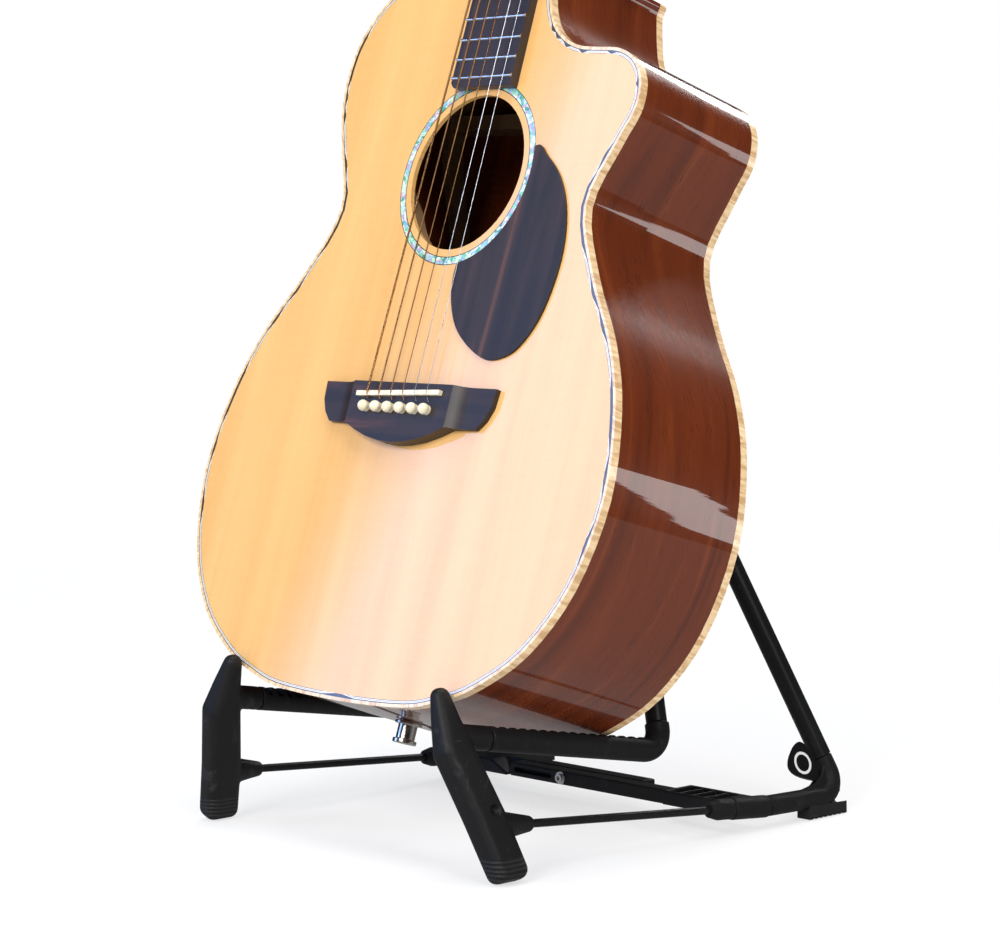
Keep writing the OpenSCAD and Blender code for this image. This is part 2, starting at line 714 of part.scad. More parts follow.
bracket_socket = 298;
rest_top = 320;
module back_rest(side) color("#262626") on_frame(side) {
    frame_rod([rest_y(rest_seam + pass_gap), rest_seam + pass_gap],
        [rest_y(bracket_socket), bracket_socket], tube_d);
    frame_rod([rest_y(bracket_socket - 2), bracket_socket - 2],
        [rest_y(rest_top), rest_top], 2 * plug_r);
    frame_rod([rest_y(rest_seam - plug_len), rest_seam - plug_len],
        [rest_y(rest_seam + 2), rest_seam + 2], 2 * plug_r);
}
module rear_leg(side) color("#262626") on_frame(side) {
    frame_rod([rear_y(rear_seam + pass_gap), rear_seam + pass_gap],
        [rear_y(bracket_socket), bracket_socket], tube_d);
    frame_rod([rear_y(bracket_socket - 2), bracket_socket - 2],
        [rear_y(rest_top), rest_top], 2 * plug_r);
    frame_rod([rear_y(rear_seam - plug_len), rear_seam - plug_len],
        [rear_y(rear_seam + 2), rear_seam + 2], 2 * plug_r);
}

// Casting that joins the backrest and the rear leg, and carries the hinge knuckles
bracket_foot = bracket_socket - 2;
bracket_seat = bracket_socket + 0.1;
bracket_top = 334;
nose_gap = 2.2;
module bracket_side() polygon([
    [back_y(bracket_foot * cos(lean)) + nose_gap, bracket_foot],
    [rear_y(bracket_foot) + tube_d / 2 + 2, bracket_foot],
    [rear_y(bracket_top - 6) + tube_d / 2 + 2, bracket_top - 6],
    [rear_y(bracket_top) + 3, bracket_top],
    [rest_y(bracket_top) - 3, bracket_top],
    [back_y((bracket_top - 7) * cos(lean)) + nose_gap, bracket_top - 7]]);
// Knuckle between two depths, measured from the bracket's middle
module knuckle(y0, y1) translate([0, bracket_y + y1, 0]) rotate([90, 0, 0]) {
    linear_extrude(y1 - y0) polygon([
        [-5, bracket_top - 14], [5, bracket_top - 10], [5, bracket_top],
        [hinge_n + 5, hinge_s + 5], [hinge_n - 5, hinge_s - 5]]);
    translate([hinge_n, hinge_s, 0]) cylinder(y1 - y0, r = knuckle_r);
}
module hinge_bracket(side) color("#262626") on_frame(side) difference() {
    union() {
        rotate([90, 0, 90]) translate([0, 0, -8]) linear_extrude(16) bracket_side();
        if (side > 0) knuckle(-knuckle_half, knuckle_half);
        else {
            knuckle(-bracket_half, -knuckle_half - pass_gap);
            knuckle(knuckle_half + pass_gap, bracket_half);
        }
    }
    for (s = [0, 1]) {
        low = bracket_foot - 5;
        high = rest_top + 1;
        frame_rod([s > 0 ? rear_y(low) : rest_y(low), low],
            [s > 0 ? rear_y(high) : rest_y(high), high], 2 * (plug_r + fit_gap));
        frame_rod([s > 0 ? rear_y(low) : rest_y(low), low],
            [s > 0 ? rear_y(bracket_seat) : rest_y(bracket_seat), bracket_seat],
            tube_d + 2 * fit_gap);
    }
    translate([hinge_n, bracket_y + 30, hinge_s]) rotate([90, 0, 0])
        cylinder(60, d = hinge_pin_d + 2 * fit_gap);
}
module hinge_pin() color("silver") place() translate([0, bracket_y, hinge_z])
    rotate([90, 0, 0]) {
        translate([0, 0, -bracket_half - 0.2])
            cylinder(2 * bracket_half + 0.4, d = hinge_pin_d);
        for (s = [-1, 1]) translate([0, 0, s * (bracket_half + 0.7) - 0.6])
            cylinder(1.2, d = hinge_pin_d + 3);
    }

module rear_corner_piece(side) color("#202020") on_frame(side) {
    top = [rear_y(200), 200];
    base_dir = (rear_corner - base_front) / norm(rear_corner - base_front);
    take = bend_take(top, rear_corner, base_front, rear_bend);
    difference() {
        frame_rod(base_front + pass_gap * base_dir, past(rear_corner, base_front, take), tube_d);
        translate([0, rod_front[0], rod_front[1]]) rotate([axle_turn, 0, 0])
            translate([0, 0, base_t - 3]) cylinder(18, d = rod_d + 2 * fit_gap);
    }
    difference() {
        frame_bend(top, rear_corner, base_front, rear_bend, tube_d);
        rear_socket();
    }
    difference() {
        frame_rod(past(rear_corner, top, take), [rear_y(rear_seam), rear_seam], tube_d);
        rear_socket();
    }
    difference() {
        rotate([90, 0, 90]) translate([0, 0, -3.5]) linear_extrude(7) web_shape();
        on_pick() translate([-pick_t / 2 - 0.35, -20, -0.4]) cube([pick_t + 0.7, 40, 60]);
        rear_socket();
    }
}
// Web that fills the corner between the rear leg and the base tube, up to the leg's seam
web_top = rear_seam - rear_corner[1] - 0.6;
module web_shape() polygon([
    rear_corner + [-1, 1], rear_corner + [-31, 2], rear_corner + [-30, 7.5],
    rear_corner + [-21, 9], rear_corner + [-13, 14], rear_corner + [-8.5, 22],
    rear_corner + [-8.8, web_top], rear_corner + [-4, web_top]]);

// Frame of the plectrum: Z runs from its point, out of the corner
pick_t = 1.2;
pick_point = rear_corner + [-11.5, 10.2];
pick_turn = 43;
module on_pick() translate([0, pick_point[0], pick_point[1]]) rotate([pick_turn, 0, 0])
    children();
pick_curve = closed_curve([
    [0, 0], [4, 4.5], [9, 13], [12, 21], [11, 26.5], [6, 29], [0, 29.5],
    [-6, 29], [-11, 26.5], [-12, 21], [-9, 13], [-4, 4.5]], 3);
module pick() color("#151515") on_frame(1) on_pick()
    rotate([90, 0, 90]) translate([0, 0, -pick_t / 2]) linear_extrude(pick_t)
        polygon(pick_curve);

pad_front = 199;
pad_back = 233;
module foot_pad(side) color("#2b2b2b") place() mirror([side > 0 ? 0 : 1, 0, 0]) difference() {
    translate([stand_half - rear_corner[1] * sin(lean), 0, 0])
        translate([-5.5, pad_front, 0]) cube([11, pad_back - pad_front, rear_corner[1] * cos(lean)]);
    translate([stand_half, 0, 0]) rotate([0, -lean, 0])
        frame_rod(base_front, past(rear_corner, base_front, -12), tube_d + 2 * fit_gap);
    for (i = [1:7]) translate([0, pad_front + i * (pad_back - pad_front) / 8 - 0.9, 0]) {
        translate([0, 0, -1]) cube([300, 1.8, 2.2]);
    }
}

// ---- stand: rods and brace -------------------------------------------------

module base_rod(side) color("#303030") on_axle(side)
    translate([0, 0, -15]) cylinder(rod_end_t + 15, d = rod_d);

module collar(side) color("#202020") on_axle(side) difference() {
    union() {
        translate([0, 0, collar_t]) cylinder(7, r1 = 4.6, r2 = tube_d / 2);
        translate([0, 0, collar_t + 7]) cylinder(barrel_t - collar_t - 7 - pass_gap, d = tube_d);
    }
    translate([0, 0, collar_t - 1]) cylinder(40, d = rod_d + 2 * fit_gap);
}

// Middle of the brace's barrel, in the world
pivot_t = barrel_t + barrel_len / 2;
pivot_s = rod_front[1] + pivot_t * sin(axle_turn + 90);
pivot_y = rod_front[0] + pivot_t * cos(axle_turn + 90);
pivot_x = stand_half - pivot_s * sin(lean);
pivot_z = pivot_s * cos(lean);
body_half = barrel_len / 2 - 2;
blade_y = pivot_y - 0.2;
blade_gap = 1.3;
short_body = 62;
front_tip = 72;
rear_tip = 42;
screw_x = -22;

module barrel(side) on_axle(side) translate([0, 0, barrel_t]) cylinder(barrel_len, d = barrel_d);
module barrel_bore(side) on_axle(side)
    translate([0, 0, barrel_t - 2]) cylinder(barrel_len + 4, d = rod_d + 2 * fit_gap);
barrel_d = tube_d + 1;

// Right half: a wide, ribbed root and a slotted blade along the front
module brace_right() color("#202020") difference() {
    union() {
        barrel(1);
        place() translate([pivot_x - short_body, pivot_y - body_half, pivot_z - brace_h / 2])
            cube([short_body, 2 * body_half, brace_h]);
        place() translate([-front_tip, blade_y - brace_w, pivot_z - brace_h / 2])
            cube([pivot_x + front_tip - 10, brace_w, brace_h]);
    }
    barrel_bore(1);
    place() for (i = [0:3])
        translate([pivot_x - short_body + 3 + i * 11, pivot_y - body_half + 3, pivot_z - 2])
            cube([9.4, 2 * body_half - 6, 20]);
    place() translate([-front_tip + 4, blade_y - brace_w - 5, pivot_z - 1.4])
        cube([36, 10, 2.8]);
    place() translate([screw_x, blade_y - brace_w - 5, pivot_z]) rotate([-90, 0, 0])
        cylinder(brace_w + 4, d = 4 + 2 * fit_gap);
}
// Left half: the same root, with its blade along the rear
module brace_left() color("#202020") difference() {
    union() {
        barrel(-1);
        place() mirror([1, 0, 0]) translate([0, pivot_y - body_half, pivot_z - brace_h / 2])
            root_block();
        place() translate([-pivot_x + 10, blade_y + blade_gap, pivot_z - brace_h / 2])
            cube([pivot_x + rear_tip - 10, brace_w, brace_h]);
    }
    barrel_bore(-1);
}
// Root whose end is cut away above, where the other half's tip swings over it
module root_block() translate([0, 2 * body_half, 0]) rotate([90, 0, 0])
    linear_extrude(2 * body_half) polygon([
        [front_tip + 2, 0], [pivot_x, 0], [pivot_x, brace_h],
        [front_tip + 17.5, brace_h], [front_tip + 2, 1.6]]);

// Screw whose head and washer stand on the front of the right half
module brace_screw() color("silver") place() translate([screw_x, blade_y - brace_w, pivot_z])
    rotate([90, 0, 0]) difference() {
        union() {
            translate([0, 0, -brace_w + 1]) cylinder(brace_w + 1, d = 4);
            translate([0, 0, fit_gap]) cylinder(1, d = 8.4);
            translate([0, 0, fit_gap]) cylinder(2.6, d = 6);
        }
        translate([0, 0, 1.4]) cylinder(3, d = 3, $fn = 6);
    }

// ---- all nodes --------------------------------------------------------------

soundboard();
rosette();
purfling();
top_binding();
rim();
back_binding();
back_plate();
linings();
top_braces();
back_braces();
endpin_jack();
pickguard();
bridge();
saddle();
bridge_pins();
wound_strings();
plain_strings();
fretboard();
frets();
nut();
neck();
truss_rod();
headplate();
tuner_housings();
tuner_bushings();
tuner_post(0);  // tuner_post_1
tuner_post(1);  // tuner_post_2
tuner_post(2);  // tuner_post_3
tuner_post(3);  // tuner_post_4
tuner_post(4);  // tuner_post_5
tuner_post(5);  // tuner_post_6
tuner_button(0);  // tuner_button_1
tuner_button(1);  // tuner_button_2
tuner_button(2);  // tuner_button_3
tuner_button(3);  // tuner_button_4
tuner_button(4);  // tuner_button_5
tuner_button(5);  // tuner_button_6
front_leg(-1);  // front_leg_left
support_arm(-1);  // support_arm_left
back_rest(-1);  // back_rest_left
rear_leg(-1);  // rear_leg_left
rear_corner_piece(-1);  // rear_corner_left
foot_pad(-1);  // foot_pad_left
base_rod(-1);  // base_rod_left
collar(-1);  // collar_left
hinge_bracket(-1);  // hinge_bracket_left
front_leg(1);  // front_leg_right
support_arm(1);  // support_arm_right
back_rest(1);  // back_rest_right
rear_leg(1);  // rear_leg_right
rear_corner_piece(1);  // rear_corner_right
foot_pad(1);  // foot_pad_right
base_rod(1);  // base_rod_right
collar(1);  // collar_right
hinge_bracket(1);  // hinge_bracket_right
hinge_pin();
brace_left();
brace_right();
brace_screw();
pick();
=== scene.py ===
"""Looks of a round-cutaway steel-string guitar on its folding stand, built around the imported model."""

import json
import math

import bmesh
import bpy
import numpy as np
from mathutils import Matrix, Vector


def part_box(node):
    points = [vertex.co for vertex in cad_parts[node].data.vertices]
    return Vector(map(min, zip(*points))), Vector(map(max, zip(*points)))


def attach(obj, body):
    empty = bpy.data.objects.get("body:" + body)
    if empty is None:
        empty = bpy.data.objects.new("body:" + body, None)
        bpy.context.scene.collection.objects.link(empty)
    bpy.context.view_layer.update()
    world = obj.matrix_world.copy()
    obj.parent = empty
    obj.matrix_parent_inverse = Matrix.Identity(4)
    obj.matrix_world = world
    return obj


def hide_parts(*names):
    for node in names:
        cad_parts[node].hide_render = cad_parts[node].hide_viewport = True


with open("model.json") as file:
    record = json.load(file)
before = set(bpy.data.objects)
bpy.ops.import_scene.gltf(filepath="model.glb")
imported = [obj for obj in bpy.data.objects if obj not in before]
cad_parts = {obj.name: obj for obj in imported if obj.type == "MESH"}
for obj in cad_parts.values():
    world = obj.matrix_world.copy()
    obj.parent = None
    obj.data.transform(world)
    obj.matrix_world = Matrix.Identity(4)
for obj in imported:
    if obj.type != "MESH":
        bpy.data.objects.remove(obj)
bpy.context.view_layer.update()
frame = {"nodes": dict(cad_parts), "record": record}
RECORD = frame["record"]
NODE_BODY = {n: b for b, nodes in RECORD["behaviour"]["bodies"].items() for n in nodes}
NODE_SLOT = {s["node"]: s["material_slot"] for s in RECORD["subparts"]}
MOUNTS = {m["name"]: m for m in RECORD["mounts"]}

# ---- the guitar's own frame: across (u), up the neck (v), into the body (d) ----

NECKWARD = -Vector(MOUNTS["plug_socket"]["axis"])
TILT = math.atan2(NECKWARD.y, NECKWARD.z)
ACROSS = Vector((1, 0, 0))
INWARD = Vector((0, math.cos(TILT), -math.sin(TILT)))
SOCKET = Vector(MOUNTS["plug_socket"]["pos_m"])
SOCKET_V = -0.191
SOCKET_DEPTH = 0.0595
FACE_ORIGIN = SOCKET - NECKWARD * SOCKET_V - INWARD * SOCKET_DEPTH


def on_face(u, v, depth=0.0):
    """A point of the guitar's frame, in the row frame, in metres."""
    return FACE_ORIGIN + ACROSS * u + NECKWARD * v + INWARD * depth


def face_coords(p):
    """(u, v, depth) of a point of the row frame."""
    q = Vector(p) - FACE_ORIGIN
    return q.dot(ACROSS), q.dot(NECKWARD), q.dot(INWARD)


# ---- camera, lights and floor ----

def add_camera():
    data = bpy.data.cameras.new("camera")
    data.lens = 112.256
    data.sensor_width = 36
    data.clip_end = 50
    cam = bpy.data.objects.new("camera", data)
    bpy.context.scene.collection.objects.link(cam)
    turn = (Matrix.Rotation(math.radians(48.479), 4, "Z")
            @ Matrix.Rotation(math.radians(90 - 5.013), 4, "X")
            @ Matrix.Rotation(math.radians(-1.072), 4, "Z"))
    cam.matrix_world = Matrix.Translation((1.4544, -1.34355, 0.3895)) @ turn
    bpy.context.scene.camera = cam


def softbox(name, place, target, width, height, power):
    data = bpy.data.lights.new(name, "AREA")
    data.shape = "RECTANGLE"
    data.size = width
    data.size_y = height
    data.energy = power
    lamp = bpy.data.objects.new(name, data)
    bpy.context.scene.collection.objects.link(lamp)
    lamp.location = place
    lamp.rotation_euler = (Vector(target) - Vector(place)).to_track_quat("-Z", "Y").to_euler()
    lamp.visible_camera = False
    return lamp


def glowing_panel(name, corners, radiance, shade, tint=(1, 1, 1)):
    """A lit panel of the studio; shade(nt, x, y, uv) gives how strongly it glows across its face."""
    mesh = bpy.data.meshes.new(name)
    mesh.from_pydata(corners, [], [(0, 1, 2, 3)])
    uv = mesh.uv_layers.new(name="panel")
    for loop, place in zip(uv.data, ((0, 0), (1, 0), (1, 1), (0, 1))):
        loop.uv = place
    panel = bpy.data.objects.new(name, mesh)
    bpy.context.scene.collection.objects.link(panel)
    panel.visible_camera = False
    mat = bpy.data.materials.new(name)
    mat.use_nodes = True
    nt = mat.node_tree
    nt.nodes.clear()
    out = nt.nodes.new("ShaderNodeOutputMaterial")
    glow = nt.nodes.new("ShaderNodeEmission")
    glow.inputs["Color"].default_value = (*tint, 1)
    coords = nt.nodes.new("ShaderNodeTexCoord")
    split = nt.nodes.new("ShaderNodeSeparateXYZ")
    nt.links.new(coords.outputs["UV"], split.inputs[0])
    mask = shade(nt, split.outputs["X"], split.outputs["Y"], coords.outputs["UV"])
    nt.links.new(maths(nt, "MULTIPLY", mask, radiance), glow.inputs["Strength"])
    nt.links.new(glow.outputs[0], out.inputs["Surface"])
    mesh.materials.append(mat)


def facing_corners(centre, towards, width, height):
    """Corners of an upright panel at centre that looks towards a point; x runs to its right."""
    ahead = (Vector(towards) - Vector(centre)).normalized()
    side = ahead.cross(Vector((0, 0, 1))).normalized()
    up = side.cross(ahead)
    c = Vector(centre)
    return [c - side * width / 2 - up * height / 2, c + side * width / 2 - up * height / 2,
            c + side * width / 2 + up * height / 2, c - side * width / 2 + up * height / 2]


def soft_side(nt, x, y, uv):
    """Even, with a soft, slightly leaning edge on the panel's left."""
    lean = maths(nt, "MULTIPLY_ADD", y, 0.08, -0.17)
    edge = maths(nt, "MULTIPLY", maths(nt, "ADD", x, lean), 9.0, clamp=True)
    return maths(nt, "POWER", edge, 1.4)


def torn_sides(nt, x, y, uv):
    """Even, with uneven left and right edges like crumpled paper."""
    rag = noise(nt, scaled(nt, uv, (2, 26, 1)), 1.0, 5, 0.6)
    shift = maths(nt, "MULTIPLY", maths(nt, "SUBTRACT", rag, 0.5), 0.35)
    place = maths(nt, "ADD", x, shift)
    left = maths(nt, "MULTIPLY", maths(nt, "SUBTRACT", place, 0.14), 60.0, clamp=True)
    right = maths(nt, "MULTIPLY", maths(nt, "SUBTRACT", 0.9, place), 60.0, clamp=True)
    return maths(nt, "MULTIPLY", left, right)


def add_lights():
    face = (0.0, -0.1, 0.3)
    glowing_panel("face_panel", facing_corners((-2.084, -2.055, 1.21), face, 1.2, 1.6), 5.4,
                  soft_side, (0.25, 0.45, 1.0))
    glowing_panel("right_panel", facing_corners((1.05, 0.865, 0.19), (0.15, -0.08, 0.3), 0.2, 0.3),
                  4.5, torn_sides)
    softbox("front_softbox", (0.9, -3.0, 1.9), (0.02, -0.1, 0.3), 1.6, 1.2, 86)
    softbox("top_softbox", (0.3, -0.2, 3.0), (0, 0, 0.3), 1.4, 1.4, 42)
    softbox("back_softbox", (-0.5, 2.3, 1.5), (0, 0, 0.4), 0.9, 0.5, 26)
    softbox("right_softbox", (2.8, -0.9, 1.6), (0.1, 0, 0.3), 0.8, 1.0, 34)


def add_world():
    """White to the camera, a soft fill for matt surfaces, and dark in reflections."""
    world = bpy.data.worlds.new("studio")
    bpy.context.scene.world = world
    world.use_nodes = True
    nt = world.node_tree
    nt.nodes.clear()
    out = nt.nodes.new("ShaderNodeOutputWorld")
    path = nt.nodes.new("ShaderNodeLightPath")
    fill = nt.nodes.new("ShaderNodeBackground")
    fill.inputs["Color"].default_value = (0.97, 0.98, 1, 1)
    level = maths(nt, "MULTIPLY_ADD", path.outputs["Is Glossy Ray"], -0.32, 0.34)
    nt.links.new(level, fill.inputs["Strength"])
    seen = nt.nodes.new("ShaderNodeBackground")
    seen.inputs["Color"].default_value = (1, 1, 1, 1)
    mix = nt.nodes.new("ShaderNodeMixShader")
    nt.links.new(path.outputs["Is Camera Ray"], mix.inputs[0])
    nt.links.new(fill.outputs[0], mix.inputs[1])
    nt.links.new(seen.outputs[0], mix.inputs[2])
    nt.links.new(mix.outputs[0], out.inputs["Surface"])


def add_floor():
    """White paper: lit near the object, glowing white further off, and dark beyond its far edge."""
    bpy.ops.object.select_all(action="DESELECT")
    bpy.ops.mesh.primitive_plane_add(size=30, location=(0, 0, -0.0006))
    floor = bpy.context.object
    floor.name = "floor"
    mat = bpy.data.materials.new("pale_floor")
    mat.use_nodes = True
    nt = mat.node_tree
    nt.nodes.clear()
    out = nt.nodes.new("ShaderNodeOutputMaterial")
    coords = nt.nodes.new("ShaderNodeTexCoord")
    reach = nt.nodes.new("ShaderNodeVectorMath")
    reach.operation = "LENGTH"
    nt.links.new(coords.outputs["Object"], reach.inputs[0])
    far = maths(nt, "MULTIPLY", maths(nt, "SUBTRACT", reach.outputs["Value"], 0.35), 0.75, clamp=True)
    paper = nt.nodes.new("ShaderNodeBsdfDiffuse")
    paper.inputs["Color"].default_value = (0.92, 0.92, 0.92, 1)
    glow = nt.nodes.new("ShaderNodeEmission")
    near_mix = nt.nodes.new("ShaderNodeMixShader")
    nt.links.new(maths(nt, "MULTIPLY_ADD", far, 0.35, 0.65), near_mix.inputs[0])
    nt.links.new(paper.outputs[0], near_mix.inputs[1])
    nt.links.new(glow.outputs[0], near_mix.inputs[2])
    along = nt.nodes.new("ShaderNodeVectorMath")
    along.operation = "DOT_PRODUCT"
    along.inputs[1].default_value = (0.735, 0.678, 0)
    nt.links.new(coords.outputs["Object"], along.inputs[0])
    inside = maths(nt, "LESS_THAN", along.outputs["Value"], 0.98)
    dark = nt.nodes.new("ShaderNodeEmission")
    dark.inputs["Strength"].default_value = 0.02
    mirrored = nt.nodes.new("ShaderNodeMixShader")
    dim = nt.nodes.new("ShaderNodeEmission")
    dim.inputs["Strength"].default_value = 0.36
    nt.links.new(inside, mirrored.inputs[0])
    nt.links.new(dark.outputs[0], mirrored.inputs[1])
    nt.links.new(dim.outputs[0], mirrored.inputs[2])
    path = nt.nodes.new("ShaderNodeLightPath")
    pick = nt.nodes.new("ShaderNodeMixShader")
    nt.links.new(path.outputs["Is Glossy Ray"], pick.inputs[0])
    nt.links.new(near_mix.outputs[0], pick.inputs[1])
    nt.links.new(mirrored.outputs[0], pick.inputs[2])
    nt.links.new(pick.outputs[0], out.inputs["Surface"])
    floor.data.materials.append(mat)


# ---- node groups shared by the materials ----

def new_group(name, inputs, outputs):
    """An empty shader group with (name, kind, value) inputs and (name, kind) outputs."""
    g = bpy.data.node_groups.new(name, "ShaderNodeTree")
    for label, kind, value in inputs:
        s = g.interface.new_socket(name=label, in_out="INPUT", socket_type="NodeSocket" + kind)
        if value is not None:
            s.default_value = value
    for label, kind in outputs:
        g.interface.new_socket(name=label, in_out="OUTPUT", socket_type="NodeSocket" + kind)
    return g, g.nodes.new("NodeGroupInput"), g.nodes.new("NodeGroupOutput")


def node(nt, kind, **values):
    """A node of that kind, with inputs set by name and other settings by attribute."""
    n = nt.nodes.new("ShaderNode" + kind)
    for key, value in values.items():
        label = key.replace("_", " ")
        if label in n.inputs:
            n.inputs[label].default_value = value
        else:
            setattr(n, key, value)
    return n


def ramp(nt, stops, fac=None, smooth=True):
    """A colour ramp through (position, colour) stops."""
    r = nt.nodes.new("ShaderNodeValToRGB")
    r.color_ramp.interpolation = "EASE" if smooth else "CONSTANT"
    while len(r.color_ramp.elements) < len(stops):
        r.color_ramp.elements.new(0.5)
    for element, (place, colour) in zip(r.color_ramp.elements, stops):
        element.position = place
        element.color = (*colour, 1) if len(colour) == 3 else colour
    if fac is not None:
        nt.links.new(fac, r.inputs["Fac"])
    return r


def scaled(nt, vector, scale, offset=(0, 0, 0)):
    m = node(nt, "Mapping")
    m.inputs["Scale"].default_value = scale
    m.inputs["Location"].default_value = offset
    nt.links.new(vector, m.inputs["Vector"])
    return m.outputs["Vector"]


def noise(nt, vector, scale, detail=3.0, rough=0.5, distortion=0.0):
    n = node(nt, "TexNoise", Scale=scale, Detail=detail, Roughness=rough, Distortion=distortion)
    nt.links.new(vector, n.inputs["Vector"])
    return n.outputs["Fac"]


def maths(nt, operation, a, b=None, c=None, clamp=False):
    m = node(nt, "Math", operation=operation, use_clamp=clamp)
    for socket, value in zip(m.inputs, (a, b, c)):
        if value is None:
            continue
        if isinstance(value, (int, float)):
            socket.default_value = value
        else:
            nt.links.new(value, socket)
    return m.outputs[0]


def blend_colour(nt, fac, a, b, mode="MIX"):
    m = node(nt, "Mix", data_type="RGBA", blend_type=mode)
    for socket, value in ((m.inputs[0], fac), (m.inputs[6], a), (m.inputs[7], b)):
        if isinstance(value, (int, float)):
            socket.default_value = value
        elif isinstance(value, tuple):
            socket.default_value = (*value, 1)
        else:
            nt.links.new(value, socket)
    return m.outputs[2]


def make_straight_grain():
    """Fine parallel growth lines along Z, with broad colour bands and silk across them."""
    g, gin, gout = new_group("straight_grain", [("Vector", "Vector", None)],
                             [("Lines", "Float"), ("Bands", "Float"), ("Silk", "Float")])
    v = gin.outputs["Vector"]
    wobble = noise(g, scaled(g, v, (9, 9, 2.2)), 1.0, 2)
    x = node(g, "SeparateXYZ")
    g.links.new(v, x.inputs[0])
    shift = maths(g, "MULTIPLY", wobble, 0.006)
    across = maths(g, "ADD", x.outputs["X"], shift)
    spread = noise(g, scaled(g, v, (14, 1, 0.6)), 1.0, 1)
    rate = maths(g, "MULTIPLY", across, 5400)
    wave = maths(g, "SINE", maths(g, "ADD", rate, maths(g, "MULTIPLY", spread, 60)))
    lines = maths(g, "POWER", maths(g, "MULTIPLY_ADD", wave, 0.5, 0.5), 2.2)
    soft = noise(g, scaled(g, v, (900, 900, 14)), 1.0, 3)
    g.links.new(maths(g, "MULTIPLY", lines, maths(g, "MULTIPLY", soft, 1.6)), gout.inputs["Lines"])
    g.links.new(noise(g, scaled(g, v, (42, 42, 1.4)), 1.0, 3), gout.inputs["Bands"])
    g.links.new(noise(g, scaled(g, v, (60, 60, 420)), 1.0, 2, 0.6, 0.4), gout.inputs["Silk"])
    return g


def make_pores():
    """Open pores as short dark dashes along Z, and ribbon figure."""
    g, gin, gout = new_group("pores", [("Vector", "Vector", None), ("Density", "Float", 0.5)],
                             [("Pores", "Float"), ("Ribbon", "Float"), ("Figure", "Float")])
    v = gin.outputs["Vector"]
    fine = noise(g, scaled(g, v, (1500, 1500, 70)), 1.0, 2, 0.6)
    patch = noise(g, scaled(g, v, (160, 160, 26)), 1.0, 3)
    mixed = maths(g, "MULTIPLY", patch, 0.35)
    total = maths(g, "ADD", maths(g, "MULTIPLY", fine, 0.8), mixed)
    limit = maths(g, "SUBTRACT", 1.0, maths(g, "MULTIPLY", gin.outputs["Density"], 0.6))
    level = maths(g, "SUBTRACT", total, limit)
    g.links.new(maths(g, "MULTIPLY", level, 9.0, clamp=True), gout.inputs["Pores"])
    g.links.new(noise(g, scaled(g, v, (55, 55, 3.2)), 1.0, 4, 0.55, 0.8), gout.inputs["Ribbon"])
    g.links.new(noise(g, scaled(g, v, (7, 7, 1.6)), 1.0, 3, 0.5, 1.2), gout.inputs["Figure"])
    return g


def make_lacquer_skin():
    """Slow waves, fine haze and a few wiping marks of polished lacquer."""
    g, gin, gout = new_group("lacquer_skin", [("Vector", "Vector", None)],
                             [("Roughness", "Float"), ("Height", "Float")])
    v = gin.outputs["Vector"]
    waves = noise(g, scaled(g, v, (60, 60, 60)), 1.0, 2)
    haze = noise(g, scaled(g, v, (18, 18, 18)), 1.0, 4, 0.6)
    marks = noise(g, scaled(g, v, (40, 900, 60)), 1.0, 2)
    rough = maths(g, "MULTIPLY", haze, 0.05)
    g.links.new(maths(g, "ADD", rough, maths(g, "MULTIPLY", marks, 0.02)), gout.inputs["Roughness"])
    g.links.new(waves, gout.inputs["Height"])
    return g


def make_moulded_skin():
    """Spark-eroded texture of a moulded part, with scuffs, scratches and uneven tone."""
    g, gin, gout = new_group(
        "moulded_skin", [("Vector", "Vector", None), ("Texture size", "Float", 1600.0)],
        [("Tone", "Float"), ("Scuffs", "Float"), ("Height", "Float")])
    v = gin.outputs["Vector"]
    grit = node(g, "TexNoise", Detail=3.0, Roughness=0.65)
    g.links.new(v, grit.inputs["Vector"])
    g.links.new(gin.outputs["Texture size"], grit.inputs["Scale"])
    scuff = noise(g, scaled(g, v, (35, 120, 60)), 1.0, 6, 0.7, 0.6)
    scratch = noise(g, scaled(g, v, (700, 60, 300)), 1.0, 3, 0.6)
    mark = maths(g, "MULTIPLY", maths(g, "SUBTRACT", scuff, 0.58), 6.0, clamp=True)
    line = maths(g, "MULTIPLY", maths(g, "SUBTRACT", scratch, 0.68), 9.0, clamp=True)
    g.links.new(maths(g, "MAXIMUM", mark, line), gout.inputs["Scuffs"])
    g.links.new(noise(g, scaled(g, v, (22, 22, 22)), 1.0, 3), gout.inputs["Tone"])
    g.links.new(grit.outputs["Fac"], gout.inputs["Height"])
    return g


def make_metal_skin():
    """Handling marks and fine polishing lines on plated and coated metal."""
    g, gin, gout = new_group("metal_skin", [("Vector", "Vector", None)],
                             [("Smudge", "Float"), ("Height", "Float")])
    v = gin.outputs["Vector"]
    g.links.new(noise(g, scaled(g, v, (130, 130, 130)), 1.0, 4, 0.6), gout.inputs["Smudge"])
    g.links.new(noise(g, scaled(g, v, (2400, 300, 2400)), 1.0, 2), gout.inputs["Height"])
    return g


STRAIGHT_GRAIN = make_straight_grain()
PORES = make_pores()
LACQUER_SKIN = make_lacquer_skin()
MOULDED_SKIN = make_moulded_skin()
METAL_SKIN = make_metal_skin()


def use_group(nt, group, vector, **values):
    n = nt.nodes.new("ShaderNodeGroup")
    n.node_tree = group
    nt.links.new(vector, n.inputs["Vector"])
    for key, value in values.items():
        n.inputs[key.replace("_", " ")].default_value = value
    return n


# ---- materials ----

